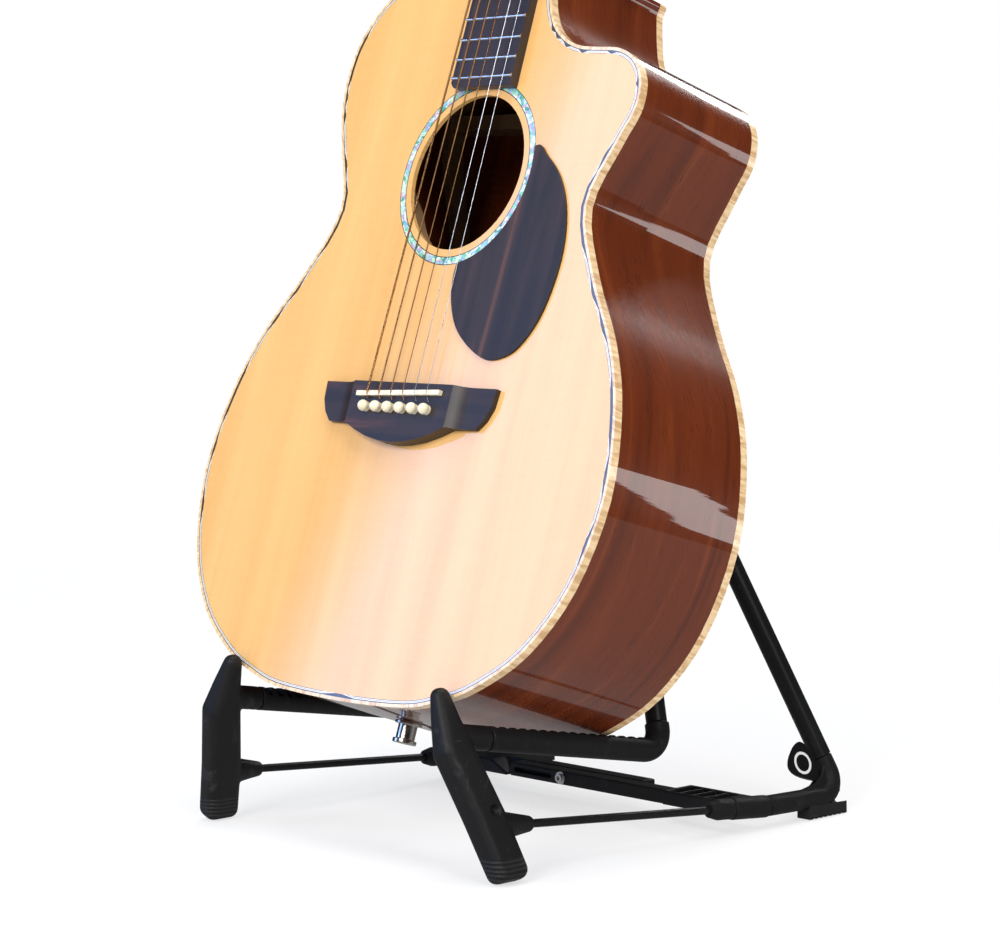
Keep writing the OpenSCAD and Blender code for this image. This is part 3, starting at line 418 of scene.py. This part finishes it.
def start_material(name):
    """A new material's tree, its Principled shader, and coordinates along the guitar."""
    mat = bpy.data.materials.new(name)
    mat.use_nodes = True
    nt = mat.node_tree
    nt.nodes.clear()
    out = nt.nodes.new("ShaderNodeOutputMaterial")
    bsdf = nt.nodes.new("ShaderNodeBsdfPrincipled")
    nt.links.new(bsdf.outputs[0], out.inputs["Surface"])
    coords = nt.nodes.new("ShaderNodeTexCoord")
    turned = node(nt, "Mapping")
    turned.inputs["Rotation"].default_value = (TILT, 0, 0)
    nt.links.new(coords.outputs["Object"], turned.inputs["Vector"])
    return mat, nt, bsdf, turned.outputs["Vector"], coords


def bump(nt, bsdf, height, strength, distance, before=None):
    b = node(nt, "Bump", Strength=strength, Distance=distance)
    nt.links.new(height, b.inputs["Height"])
    if before is not None:
        nt.links.new(before, b.inputs["Normal"])
    nt.links.new(b.outputs["Normal"], bsdf.inputs["Normal"])
    return b.outputs["Normal"]


def lacquered(bsdf, coat=1.0, coat_rough=0.02):
    bsdf.inputs["Coat Weight"].default_value = coat
    bsdf.inputs["Coat Roughness"].default_value = coat_rough
    bsdf.inputs["Coat IOR"].default_value = 1.5
    bsdf.inputs["Specular IOR Level"].default_value = 0.12


def spruce():
    mat, nt, bsdf, vec, _ = start_material("lacquered_spruce")
    grain = use_group(nt, STRAIGHT_GRAIN, vec)
    base = ramp(nt, [(0.3, (0.73, 0.40, 0.125)), (0.7, (0.82, 0.475, 0.17))], grain.outputs["Bands"])
    lined = blend_colour(nt, maths(nt, "MULTIPLY", grain.outputs["Lines"], 0.55),
                         base.outputs[0], (0.50, 0.24, 0.07))
    silk = maths(nt, "MULTIPLY", grain.outputs["Silk"], 0.16)
    nt.links.new(blend_colour(nt, silk, lined, (0.90, 0.62, 0.30)), bsdf.inputs["Base Color"])
    skin = use_group(nt, LACQUER_SKIN, vec)
    nt.links.new(maths(nt, "ADD", skin.outputs["Roughness"], 0.30), bsdf.inputs["Roughness"])
    fine = bump(nt, bsdf, grain.outputs["Lines"], 0.05, 0.0002)
    bump(nt, bsdf, skin.outputs["Height"], 0.02, 0.0006, fine)
    lacquered(bsdf)
    return mat


def mahogany(name, along_uv):
    """Red-brown mahogany; on the bent sides the grain follows the piece's own UV map."""
    mat, nt, bsdf, vec, coords = start_material(name)
    if along_uv:
        swap = node(nt, "Mapping")
        swap.inputs["Rotation"].default_value = (0, math.radians(90), 0)
        nt.links.new(coords.outputs["UV"], swap.inputs["Vector"])
        vec = swap.outputs["Vector"]
    pores = use_group(nt, PORES, vec, Density=0.55)
    base = ramp(nt, [(0.25, (0.050, 0.009, 0.004)), (0.5, (0.115, 0.021, 0.006)),
                     (0.78, (0.215, 0.047, 0.011))], pores.outputs["Ribbon"])
    figure = maths(nt, "MULTIPLY", pores.outputs["Figure"], 0.5)
    broad = blend_colour(nt, figure, base.outputs[0], (0.15, 0.030, 0.008))
    nt.links.new(blend_colour(nt, maths(nt, "MULTIPLY", pores.outputs["Pores"], 0.85), broad,
                              (0.020, 0.006, 0.004)), bsdf.inputs["Base Color"])
    skin = use_group(nt, LACQUER_SKIN, coords.outputs["Object"])
    nt.links.new(maths(nt, "ADD", skin.outputs["Roughness"], 0.24), bsdf.inputs["Roughness"])
    sunk = bump(nt, bsdf, pores.outputs["Pores"], -0.04, 0.0002)
    bump(nt, bsdf, skin.outputs["Height"], 0.025, 0.0008, sunk)
    lacquered(bsdf)
    return mat


def flamed_maple():
    mat, nt, bsdf, vec, coords = start_material("flamed_maple")
    uv = coords.outputs["UV"]
    curl = noise(nt, scaled(nt, uv, (290, 60, 1)), 1.0, 2, 0.5, 0.8)
    fibre = noise(nt, scaled(nt, uv, (60, 2600, 1)), 1.0, 2)
    base = ramp(nt, [(0.34, (0.56, 0.34, 0.16)), (0.56, (0.80, 0.58, 0.33)),
                     (0.72, (0.90, 0.72, 0.47))], curl)
    nt.links.new(blend_colour(nt, maths(nt, "MULTIPLY", fibre, 0.25), base.outputs[0],
                              (0.62, 0.40, 0.20)), bsdf.inputs["Base Color"])
    skin = use_group(nt, LACQUER_SKIN, vec)
    nt.links.new(maths(nt, "ADD", skin.outputs["Roughness"], 0.25), bsdf.inputs["Roughness"])
    bump(nt, bsdf, skin.outputs["Height"], 0.02, 0.0006)
    lacquered(bsdf)
    return mat


def lined_purfling():
    """Black and white lines across the strip; UV y is the distance in from the binding."""
    mat, nt, bsdf, vec, coords = start_material("lined_purfling")
    split = node(nt, "SeparateXYZ")
    nt.links.new(coords.outputs["UV"], split.inputs[0])
    across = maths(nt, "MULTIPLY", maths(nt, "SUBTRACT", split.outputs["Y"], 0.002), 1 / 0.0022)
    black = (0.012, 0.011, 0.010)
    white = (0.82, 0.78, 0.70)
    lines = ramp(nt, [(0.0, black), (0.26, white), (0.5, black), (0.62, white), (0.84, black)],
                 across, smooth=False)
    age = noise(nt, scaled(nt, vec, (90, 90, 90)), 1.0, 3)
    nt.links.new(blend_colour(nt, maths(nt, "MULTIPLY", age, 0.2), lines.outputs[0],
                              (0.45, 0.35, 0.22)), bsdf.inputs["Base Color"])
    skin = use_group(nt, LACQUER_SKIN, vec)
    nt.links.new(maths(nt, "ADD", skin.outputs["Roughness"], 0.25), bsdf.inputs["Roughness"])
    lacquered(bsdf)
    return mat


RING = np.array([face_coords(v.co)[:2] for v in frame["nodes"]["rosette"].data.vertices])
RING_V = (RING[:, 1].max() + RING[:, 1].min()) / 2
RING_REACH = np.hypot(RING[:, 0], RING[:, 1] - RING_V)
RING_OUT = float(RING_REACH.max())
RING_IN = float(RING_REACH.min())


def abalone():
    """Slips of shell between black rings, laid out by angle and distance from the hole's middle."""
    mat, nt, bsdf, vec, coords = start_material("abalone_rosette")
    middle = on_face(0, RING_V)
    split = node(nt, "SeparateXYZ")
    nt.links.new(scaled(nt, vec, (1, 1, 1), (0, 0, -middle.dot(NECKWARD))), split.inputs[0])
    turn = maths(nt, "ARCTAN2", split.outputs["X"], split.outputs["Z"])
    arc = maths(nt, "MULTIPLY", turn, RING_OUT)
    along = maths(nt, "MULTIPLY", split.outputs["Z"], split.outputs["Z"])
    reach = maths(nt, "SQRT", maths(nt, "MULTIPLY_ADD", split.outputs["X"], split.outputs["X"], along))
    out_place = maths(nt, "MULTIPLY", maths(nt, "SUBTRACT", reach, RING_IN), 1 / (RING_OUT - RING_IN))
    flat = node(nt, "CombineXYZ")
    nt.links.new(arc, flat.inputs[0])
    nt.links.new(reach, flat.inputs[1])
    cells = node(nt, "TexVoronoi", Scale=1.0, Randomness=0.9)
    nt.links.new(scaled(nt, flat.outputs[0], (330, 420, 1)), cells.inputs["Vector"])
    tint = node(nt, "SeparateColor")
    nt.links.new(cells.outputs["Color"], tint.inputs[0])
    sheen = noise(nt, scaled(nt, flat.outputs[0], (500, 900, 1)), 1.0, 4, 0.6, 2.2)
    hue = maths(nt, "ADD", maths(nt, "MULTIPLY", tint.outputs[0], 0.72),
                maths(nt, "MULTIPLY", sheen, 0.32))
    shell = ramp(nt, [(0.10, (0.06, 0.12, 0.13)), (0.24, (0.10, 0.42, 0.30)),
                      (0.38, (0.45, 0.75, 0.52)), (0.50, (0.85, 0.88, 0.78)),
                      (0.62, (0.52, 0.34, 0.50)), (0.74, (0.20, 0.46, 0.62)),
                      (0.88, (0.72, 0.80, 0.70))], hue)
    veins = noise(nt, scaled(nt, flat.outputs[0], (800, 600, 1)), 1.0, 3, 0.6, 3.0)
    dark = maths(nt, "MULTIPLY", maths(nt, "SUBTRACT", veins, 0.54), 8.0, clamp=True)
    piece = blend_colour(nt, maths(nt, "MULTIPLY", dark, 0.8), shell.outputs[0], (0.04, 0.05, 0.05))
    line = (1, 1, 1)
    clear = (0, 0, 0)
    rings = ramp(nt, [(0.0, line), (0.09, clear), (0.91, line)], out_place, smooth=False)
    nt.links.new(blend_colour(nt, rings.outputs[0], piece, (0.010, 0.010, 0.010)),
                 bsdf.inputs["Base Color"])
    skin = use_group(nt, LACQUER_SKIN, vec)
    nt.links.new(maths(nt, "ADD", skin.outputs["Roughness"], 0.1), bsdf.inputs["Roughness"])
    lacquered(bsdf)
    return mat


def ebony(name, streak, rough, across=False, coat=0.0):
    """Dark open-grained wood with brown-red streaks, along the neck or across the body."""
    mat, nt, bsdf, vec, coords = start_material(name)
    if across:
        turn = node(nt, "Mapping")
        turn.inputs["Rotation"].default_value = (0, math.radians(90), 0)
        nt.links.new(vec, turn.inputs["Vector"])
        vec = turn.outputs["Vector"]
    pores = use_group(nt, PORES, vec, Density=0.5)
    base = ramp(nt, [(0.40, (0.018, 0.012, 0.011)), (0.58, (0.030, 0.018, 0.015)),
                     (0.74, streak)], pores.outputs["Ribbon"])
    nt.links.new(blend_colour(nt, maths(nt, "MULTIPLY", pores.outputs["Pores"], 0.6),
                              base.outputs[0], (0.008, 0.006, 0.006)), bsdf.inputs["Base Color"])
    tone = maths(nt, "MULTIPLY_ADD", pores.outputs["Figure"], 0.12, rough)
    nt.links.new(tone, bsdf.inputs["Roughness"])
    bump(nt, bsdf, pores.outputs["Pores"], -0.12, 0.0002)
    if coat:
        lacquered(bsdf, coat, 0.08)
    return mat


def bone():
    mat, nt, bsdf, vec, _ = start_material("polished_bone")
    cloud = noise(nt, scaled(nt, vec, (220, 220, 90)), 1.0, 4)
    fibre = noise(nt, scaled(nt, vec, (90, 2500, 2500)), 1.0, 2)
    base = ramp(nt, [(0.3, (0.70, 0.60, 0.40)), (0.7, (0.88, 0.80, 0.62))], cloud)
    nt.links.new(blend_colour(nt, maths(nt, "MULTIPLY", fibre, 0.2), base.outputs[0],
                              (0.60, 0.48, 0.30)), bsdf.inputs["Base Color"])
    bsdf.inputs["Subsurface Weight"].default_value = 0.12
    bsdf.inputs["Subsurface Scale"].default_value = 0.002
    nt.links.new(maths(nt, "MULTIPLY", cloud, 0.55), bsdf.inputs["Roughness"])
    bump(nt, bsdf, fibre, 0.03, 0.0002)
    return mat


def plated(name, colour, rough):
    mat, nt, bsdf, vec, coords = start_material(name)
    skin = use_group(nt, METAL_SKIN, coords.outputs["Object"])
    tarnish = blend_colour(nt, maths(nt, "MULTIPLY", skin.outputs["Smudge"], 0.35), colour,
                           tuple(c * 0.6 for c in colour))
    nt.links.new(tarnish, bsdf.inputs["Base Color"])
    bsdf.inputs["Metallic"].default_value = 1.0
    tone = maths(nt, "MULTIPLY_ADD", skin.outputs["Smudge"], 0.22, rough)
    nt.links.new(tone, bsdf.inputs["Roughness"])
    bump(nt, bsdf, skin.outputs["Height"], 0.04, 0.0001)
    return mat


def wound_bronze():
    """Round winding on the core wire: fine ridges along the string, with painted shade in the grooves
    between turns and a painted highlight on their crests.
    """
    mat, nt, bsdf, vec, _ = start_material("wound_bronze")
    split = node(nt, "SeparateXYZ")
    nt.links.new(vec, split.inputs[0])
    ridge_and_painted_shade = maths(nt, "SINE", maths(nt, "MULTIPLY", split.outputs["Z"], 14000))
    bsdf.inputs["Metallic"].default_value = 1.0
    # painted shade and highlight: the bronze is coloured darker in the grooves between windings and
    # lighter on their crests
    tone = maths(nt, "MULTIPLY_ADD", ridge_and_painted_shade, 0.25, 0.5)
    nt.links.new(blend_colour(nt, tone, (0.22, 0.10, 0.035), (0.66, 0.36, 0.15)),
                 bsdf.inputs["Base Color"])
    smudge = noise(nt, scaled(nt, vec, (100, 100, 30)), 1.0, 3)
    nt.links.new(maths(nt, "MULTIPLY", smudge, 0.6), bsdf.inputs["Roughness"])
    bump(nt, bsdf, ridge_and_painted_shade, 0.5, 0.0001)
    return mat


def moulded(name, dark, light, rough, size=1500.0, depth=0.22):
    """Black moulded part: fine texture, uneven tone and pale scuffs."""
    mat, nt, bsdf, _, coords = start_material(name)
    skin = use_group(nt, MOULDED_SKIN, coords.outputs["Object"], Texture_size=size)
    body = blend_colour(nt, skin.outputs["Tone"], dark, light)
    nt.links.new(blend_colour(nt, maths(nt, "MULTIPLY", skin.outputs["Scuffs"], 0.34), body,
                              tuple(min(1, c * 3.4 + 0.01) for c in light)),
                 bsdf.inputs["Base Color"])
    tone = maths(nt, "MULTIPLY_ADD", skin.outputs["Tone"], 0.18, rough)
    nt.links.new(tone, bsdf.inputs["Roughness"])
    bsdf.inputs["Specular IOR Level"].default_value = 0.16
    bump(nt, bsdf, skin.outputs["Height"], depth, 0.00025)
    return mat


RING_MARK_R = 0.0064
RING_MARK_HALF = 0.0009


def ringed_plastic():
    """Glossy black plectrum with a pale printed ring on its middle."""
    mat, nt, bsdf, _, coords = start_material("pick_plastic")
    skin = use_group(nt, MOULDED_SKIN, coords.outputs["Object"], Texture_size=600.0)
    low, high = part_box("pick")
    middle = (Vector(low) + Vector(high)) / 2
    reach = nt.nodes.new("ShaderNodeVectorMath")
    reach.operation = "DISTANCE"
    nt.links.new(coords.outputs["Object"], reach.inputs[0])
    reach.inputs[1].default_value = middle
    off = maths(nt, "ABSOLUTE", maths(nt, "SUBTRACT", reach.outputs["Value"], RING_MARK_R))
    ring = maths(nt, "LESS_THAN", off, RING_MARK_HALF)
    worn = maths(nt, "MULTIPLY", ring, maths(nt, "SUBTRACT", 0.95, skin.outputs["Scuffs"]))
    body = blend_colour(nt, skin.outputs["Tone"], (0.005, 0.005, 0.006), (0.010, 0.010, 0.011))
    nt.links.new(blend_colour(nt, worn, body, (0.72, 0.72, 0.70)), bsdf.inputs["Base Color"])
    nt.links.new(maths(nt, "MULTIPLY_ADD", skin.outputs["Tone"], 0.12, 0.12), bsdf.inputs["Roughness"])
    bump(nt, bsdf, skin.outputs["Height"], 0.02, 0.0002)
    return mat


def bare_wood():
    mat, nt, bsdf, vec, _ = start_material("bare_brace_wood")
    grain = use_group(nt, STRAIGHT_GRAIN, vec)
    base = ramp(nt, [(0.3, (0.22, 0.12, 0.055)), (0.7, (0.32, 0.19, 0.09))], grain.outputs["Bands"])
    nt.links.new(blend_colour(nt, maths(nt, "MULTIPLY", grain.outputs["Lines"], 0.3),
                              base.outputs[0], (0.12, 0.06, 0.03)), bsdf.inputs["Base Color"])
    nt.links.new(maths(nt, "MULTIPLY_ADD", grain.outputs["Silk"], 0.5, 0.4), bsdf.inputs["Roughness"])
    bump(nt, bsdf, grain.outputs["Lines"], 0.2, 0.0002)
    return mat


FOOT_RIB_PITCH = 0.0026
FOOT_RIB_TOP = 0.0155


def ribbed_plastic_painted_highlight():
    """The legs' moulded plastic, with grip ribs round the lowest part of each foot; the rib crests are
    coloured lighter, a painted highlight on the foot's lowest part.
    """
    mat, nt, bsdf, _, coords = start_material("ribbed_plastic_painted_highlight")
    skin = use_group(nt, MOULDED_SKIN, coords.outputs["Object"], Texture_size=900.0)
    split = node(nt, "SeparateXYZ")
    nt.links.new(coords.outputs["Object"], split.inputs[0])
    wave = maths(nt, "SINE", maths(nt, "MULTIPLY", split.outputs["Z"], 2 * math.pi / FOOT_RIB_PITCH))
    foot = maths(nt, "LESS_THAN", split.outputs["Z"], FOOT_RIB_TOP)
    ribs_and_painted_highlight = maths(nt, "MULTIPLY", maths(nt, "MULTIPLY_ADD", wave, 0.5, 0.5), foot)
    body = blend_colour(nt, skin.outputs["Tone"], (0.006, 0.006, 0.0065), (0.011, 0.011, 0.012))
    scuffed = blend_colour(nt, maths(nt, "MULTIPLY", skin.outputs["Scuffs"], 0.5), body,
                           (0.060, 0.060, 0.062))
    # painted highlight: the rib crests on the lowest part of the foot are coloured lighter than the
    # plastic, so the grooves read as shade
    nt.links.new(blend_colour(nt, maths(nt, "MULTIPLY", ribs_and_painted_highlight, 0.6), scuffed, (0.030, 0.030, 0.031)),
                 bsdf.inputs["Base Color"])
    nt.links.new(maths(nt, "MULTIPLY_ADD", skin.outputs["Tone"], 0.18, 0.40), bsdf.inputs["Roughness"])
    bsdf.inputs["Specular IOR Level"].default_value = 0.2
    grain = bump(nt, bsdf, skin.outputs["Height"], 0.35, 0.0004)
    bump(nt, bsdf, ribs_and_painted_highlight, 0.8, 0.0010, grain)
    return mat


MATERIALS = {
    "spruce": spruce(),
    "mahogany": mahogany("lacquered_mahogany", False),
    "bent_mahogany": mahogany("bent_mahogany", True),
    "maple": flamed_maple(),
    "purfling": lined_purfling(),
    "abalone": abalone(),
    "brace_wood": bare_wood(),
    "ebony": ebony("fretboard_ebony", (0.055, 0.028, 0.020), 0.34),
    "bridge_ebony": ebony("bridge_ebony", (0.17, 0.055, 0.032), 0.40, across=True),
    "pickguard": ebony("pickguard_ebony", (0.12, 0.050, 0.026), 0.42),
    "bone": bone(),
    "nickel": plated("polished_nickel", (0.72, 0.68, 0.62), 0.10),
    "steel": plated("bright_steel", (0.62, 0.62, 0.63), 0.18),
    "bronze": wound_bronze(),
    "stand_plastic": moulded("stand_plastic", (0.006, 0.006, 0.0065), (0.011, 0.011, 0.012), 0.44),
    "stand_rubber": moulded("stand_rubber", (0.010, 0.010, 0.010), (0.018, 0.018, 0.018), 0.62,
                            900.0, 0.35),
    "black_steel": moulded("black_steel", (0.006, 0.006, 0.0065), (0.010, 0.010, 0.011), 0.28,
                           2600.0, 0.08),
    "pick_plastic": ringed_plastic(),
    "ribbed_plastic_painted_highlight": ribbed_plastic_painted_highlight(),
}


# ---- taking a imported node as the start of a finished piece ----

def only(obj):
    bpy.ops.object.select_all(action="DESELECT")
    obj.select_set(True)
    bpy.context.view_layer.objects.active = obj


def merged_copy(node_name, whole=True, suffix="finished"):
    """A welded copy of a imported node, its flat faces made whole unless a pattern needs them cut."""
    src = frame["nodes"][node_name]
    obj = bpy.data.objects.new(node_name + "_" + suffix, src.data.copy())
    bpy.context.scene.collection.objects.link(obj)
    obj.data.materials.clear()
    only(obj)
    if obj.data.has_custom_normals:
        bpy.ops.mesh.customdata_custom_splitnormals_clear()
    bpy.ops.object.mode_set(mode="EDIT")
    bpy.ops.mesh.select_all(action="SELECT")
    bpy.ops.mesh.remove_doubles(threshold=0.00001)
    if whole:
        bpy.ops.mesh.dissolve_limited(angle_limit=math.radians(0.4))
    bpy.ops.object.mode_set(mode="OBJECT")
    return obj


def apply_modifier(obj, kind, **settings):
    only(obj)
    m = obj.modifiers.new(kind.lower(), kind)
    for key, value in settings.items():
        setattr(m, key, value)
    bpy.ops.object.modifier_apply(modifier=m.name)


def smooth(obj, angle=35):
    only(obj)
    bpy.ops.object.shade_smooth_by_angle(angle=math.radians(angle))


def settle(obj, node_name, material=None):
    """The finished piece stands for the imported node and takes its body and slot."""
    slot_name = NODE_SLOT[node_name]
    obj.data.materials.clear()
    obj.data.materials.append(MATERIALS[material or slot_name])
    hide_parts(node_name)
    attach(obj, NODE_BODY[node_name])
    return obj


def edged(node_name, width, material=None, angle=35, segments=2):
    """A piece with its sharp edges rounded over."""
    obj = merged_copy(node_name)
    apply_modifier(obj, "BEVEL", width=width, segments=segments, limit_method="ANGLE",
                   angle_limit=math.radians(30), harden_normals=False, miter_outer="MITER_ARC")
    smooth(obj, angle)
    apply_modifier(obj, "WEIGHTED_NORMAL", weight=100, keep_sharp=True)
    return settle(obj, node_name, material)


def cast(node_name, voxel, rounds, material=None, factor=0.5):
    """A moulded piece: all its edges and inner corners run together."""
    obj = merged_copy(node_name)
    apply_modifier(obj, "REMESH", mode="VOXEL", voxel_size=voxel, adaptivity=0.0)
    apply_modifier(obj, "SMOOTH", factor=factor, iterations=rounds)
    smooth(obj, 60)
    return settle(obj, node_name, material)


# ---- pattern coordinates round the body's edge ----

EDGE_CENTRE_V = 0.02


def edge_table():
    """Angles and running lengths round the body's outline, from the top binding."""
    mesh = frame["nodes"]["top_binding"].data
    pts = np.array([face_coords(v.co) for v in mesh.vertices])
    flat = np.unique(np.round(pts[:, :2], 5), axis=0)
    centre = np.array([0, EDGE_CENTRE_V])
    angle = np.arctan2(-(flat[:, 0] - centre[0]), flat[:, 1] - centre[1])
    order = np.argsort(angle)
    flat = flat[order]
    angle = angle[order]
    bins = np.round(angle, 2)
    reach = np.hypot(*(flat - centre).T)
    keep = [max(np.nonzero(bins == b)[0], key=lambda i: reach[i]) for b in np.unique(bins)]
    outer = flat[keep]
    length = np.concatenate([[0], np.cumsum(np.hypot(*np.diff(outer, axis=0).T))])
    return angle[keep], length, outer


EDGE_ANGLE, EDGE_LENGTH, EDGE_POINTS = edge_table()


def wrap_pattern(obj, by_depth):
    """UV map: x runs round the body; y is the depth on the sides, or the distance inwards."""
    mesh = obj.data
    uv = mesh.uv_layers.new(name="along_edge") if not mesh.uv_layers else mesh.uv_layers[0]
    co = np.array([face_coords(v.co) for v in mesh.vertices])
    angle = np.arctan2(-co[:, 0], co[:, 1] - EDGE_CENTRE_V)
    along = np.interp(angle, EDGE_ANGLE, EDGE_LENGTH)
    closed = np.vstack([EDGE_POINTS, EDGE_POINTS[:1]])
    a, b = closed[:-1], closed[1:]
    ab = b - a
    t = np.einsum("ijk,jk->ij", co[:, None, :2] - a[None], ab) / np.maximum((ab ** 2).sum(1), 1e-12)
    near = a[None] + np.clip(t, 0, 1)[..., None] * ab[None]
    inset = np.sqrt(((co[:, None, :2] - near) ** 2).sum(2)).min(1)
    total = EDGE_LENGTH[-1]
    for face in mesh.polygons:
        flat = abs(face.normal.dot(INWARD)) > 0.7
        xs = [along[mesh.loops[i].vertex_index] for i in face.loop_indices]
        jump = max(xs) - min(xs) > total / 2
        for i, x in zip(face.loop_indices, xs):
            k = mesh.loops[i].vertex_index
            y = inset[k] if flat and not by_depth else co[k, 2]
            uv.data[i].uv = (x + total if jump and x < total / 2 else x, y)


# ---- the guitar ----

def finish_body():
    for name, material in (("soundboard", "spruce"), ("rosette", "abalone"), ("back_plate", "mahogany")):
        plate = merged_copy(name)
        smooth(plate, 30)
        settle(plate, name, material)
    for name, material, by_depth in (("rim", "bent_mahogany", True), ("top_binding", "maple", False),
                                     ("back_binding", "maple", True), ("purfling", "purfling", False)):
        obj = merged_copy(name, whole=False)
        wrap_pattern(obj, by_depth)
        smooth(obj, 40)
        settle(obj, name, material)


def finish_inside():
    for name in ("linings", "top_braces", "back_braces"):
        frame["nodes"][name].data.materials.clear()
        frame["nodes"][name].data.materials.append(MATERIALS["brace_wood"])
    frame["nodes"]["truss_rod"].data.materials.clear()
    frame["nodes"]["truss_rod"].data.materials.append(MATERIALS["steel"])


def finish_face():
    edged("bridge", 0.0006, "bridge_ebony")
    edged("pickguard", 0.0005, "pickguard")
    edged("saddle", 0.0005)
    edged("nut", 0.0005)
    edged("fretboard", 0.0004)
    edged("frets", 0.0002)
    edged("headplate", 0.0003)
    edged("neck", 0.0008, "mahogany", 40)
    edged("endpin_jack", 0.0004)
    edged("bridge_pins", 0.0002, angle=50)
    for k in range(1, 7):
        edged(f"tuner_post_{k}", 0.0002)
        edged(f"tuner_button_{k}", 0.0008, angle=50)
    edged("tuner_housings", 0.0007)
    edged("tuner_bushings", 0.0003)


def string_runs():
    """Straight runs of each string as (start, end, radius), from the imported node."""
    runs = []
    for name in ("wound_strings", "plain_strings"):
        bm = bmesh.new()
        bm.from_mesh(frame["nodes"][name].data)
        bmesh.ops.remove_doubles(bm, verts=bm.verts, dist=1e-6)
        left = set(bm.verts)
        while left:
            stack = [left.pop()]
            part = list(stack)
            while stack:
                for edge in stack.pop().link_edges:
                    for v in edge.verts:
                        if v in left:
                            left.discard(v)
                            stack.append(v)
                            part.append(v)
            pts = np.array([v.co for v in part])
            mid = pts.mean(0)
            axis = np.linalg.svd(pts - mid)[2][0]
            axis = axis * (1 if np.dot(axis, NECKWARD) > 0 else -1)
            along = (pts - mid) @ axis
            low, high = pts[along < 0].mean(0), pts[along > 0].mean(0)
            radius = np.linalg.norm((pts - mid) - np.outer(along, axis), axis=1).max()
            runs.append((low, high, radius, name))
        bm.free()
    return runs


def finish_strings():
    """Each string as one bent wire."""
    runs = sorted(string_runs(), key=lambda r: face_coords(r[0])[1])
    used = {}
    for low, high, radius, name in runs:
        key = None
        for k, path in used.items():
            if np.linalg.norm(path[1][-1] - low) < 0.0015:
                key = k
        if key is None:
            used[len(used)] = (name, [low, high], radius)
        else:
            path = used[key][1]
            path[-1] = (path[-1] + low) / 2
            path.append(high)
    for k, (name, path, radius) in used.items():
        curve = bpy.data.curves.new(f"string_{k + 1}", "CURVE")
        curve.dimensions = "3D"
        curve.bevel_depth = radius
        curve.bevel_resolution = 3
        curve.use_fill_caps = True
        line = curve.splines.new("POLY")
        line.points.add(len(path) - 1)
        for point, p in zip(line.points, path):
            point.co = (*p, 1)
        obj = bpy.data.objects.new(f"string_{k + 1}", curve)
        bpy.context.scene.collection.objects.link(obj)
        only(obj)
        bpy.ops.object.convert(target="MESH")
        obj = bpy.context.object
        smooth(obj, 60)
        obj.data.materials.clear()
        obj.data.materials.append(MATERIALS[NODE_SLOT[name]])
        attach(obj, "guitar")
        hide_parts(name)


# ---- the stand ----

def finish_stand():
    for side in ("left", "right"):
        cast("front_leg_" + side, 0.0010, 6, "ribbed_plastic_painted_highlight")
        cast("support_arm_" + side, 0.0007, 2)
        cast("rear_corner_" + side, 0.0007, 3)
        cast("hinge_bracket_" + side, 0.0009, 4)
        cast("brace_" + side, 0.0007, 2)
        edged("back_rest_" + side, 0.0003)
        edged("rear_leg_" + side, 0.0003)
        edged("base_rod_" + side, 0.0002)
        edged("collar_" + side, 0.0004)
        edged("foot_pad_" + side, 0.0005)
    edged("hinge_pin", 0.0004)
    edged("pick", 0.0003)
    edged("brace_screw", 0.0002)


add_camera()
add_lights()
add_world()
add_floor()
bpy.context.scene.view_settings.view_transform = "Standard"
finish_body()
finish_inside()
finish_face()
finish_strings()
finish_stand()
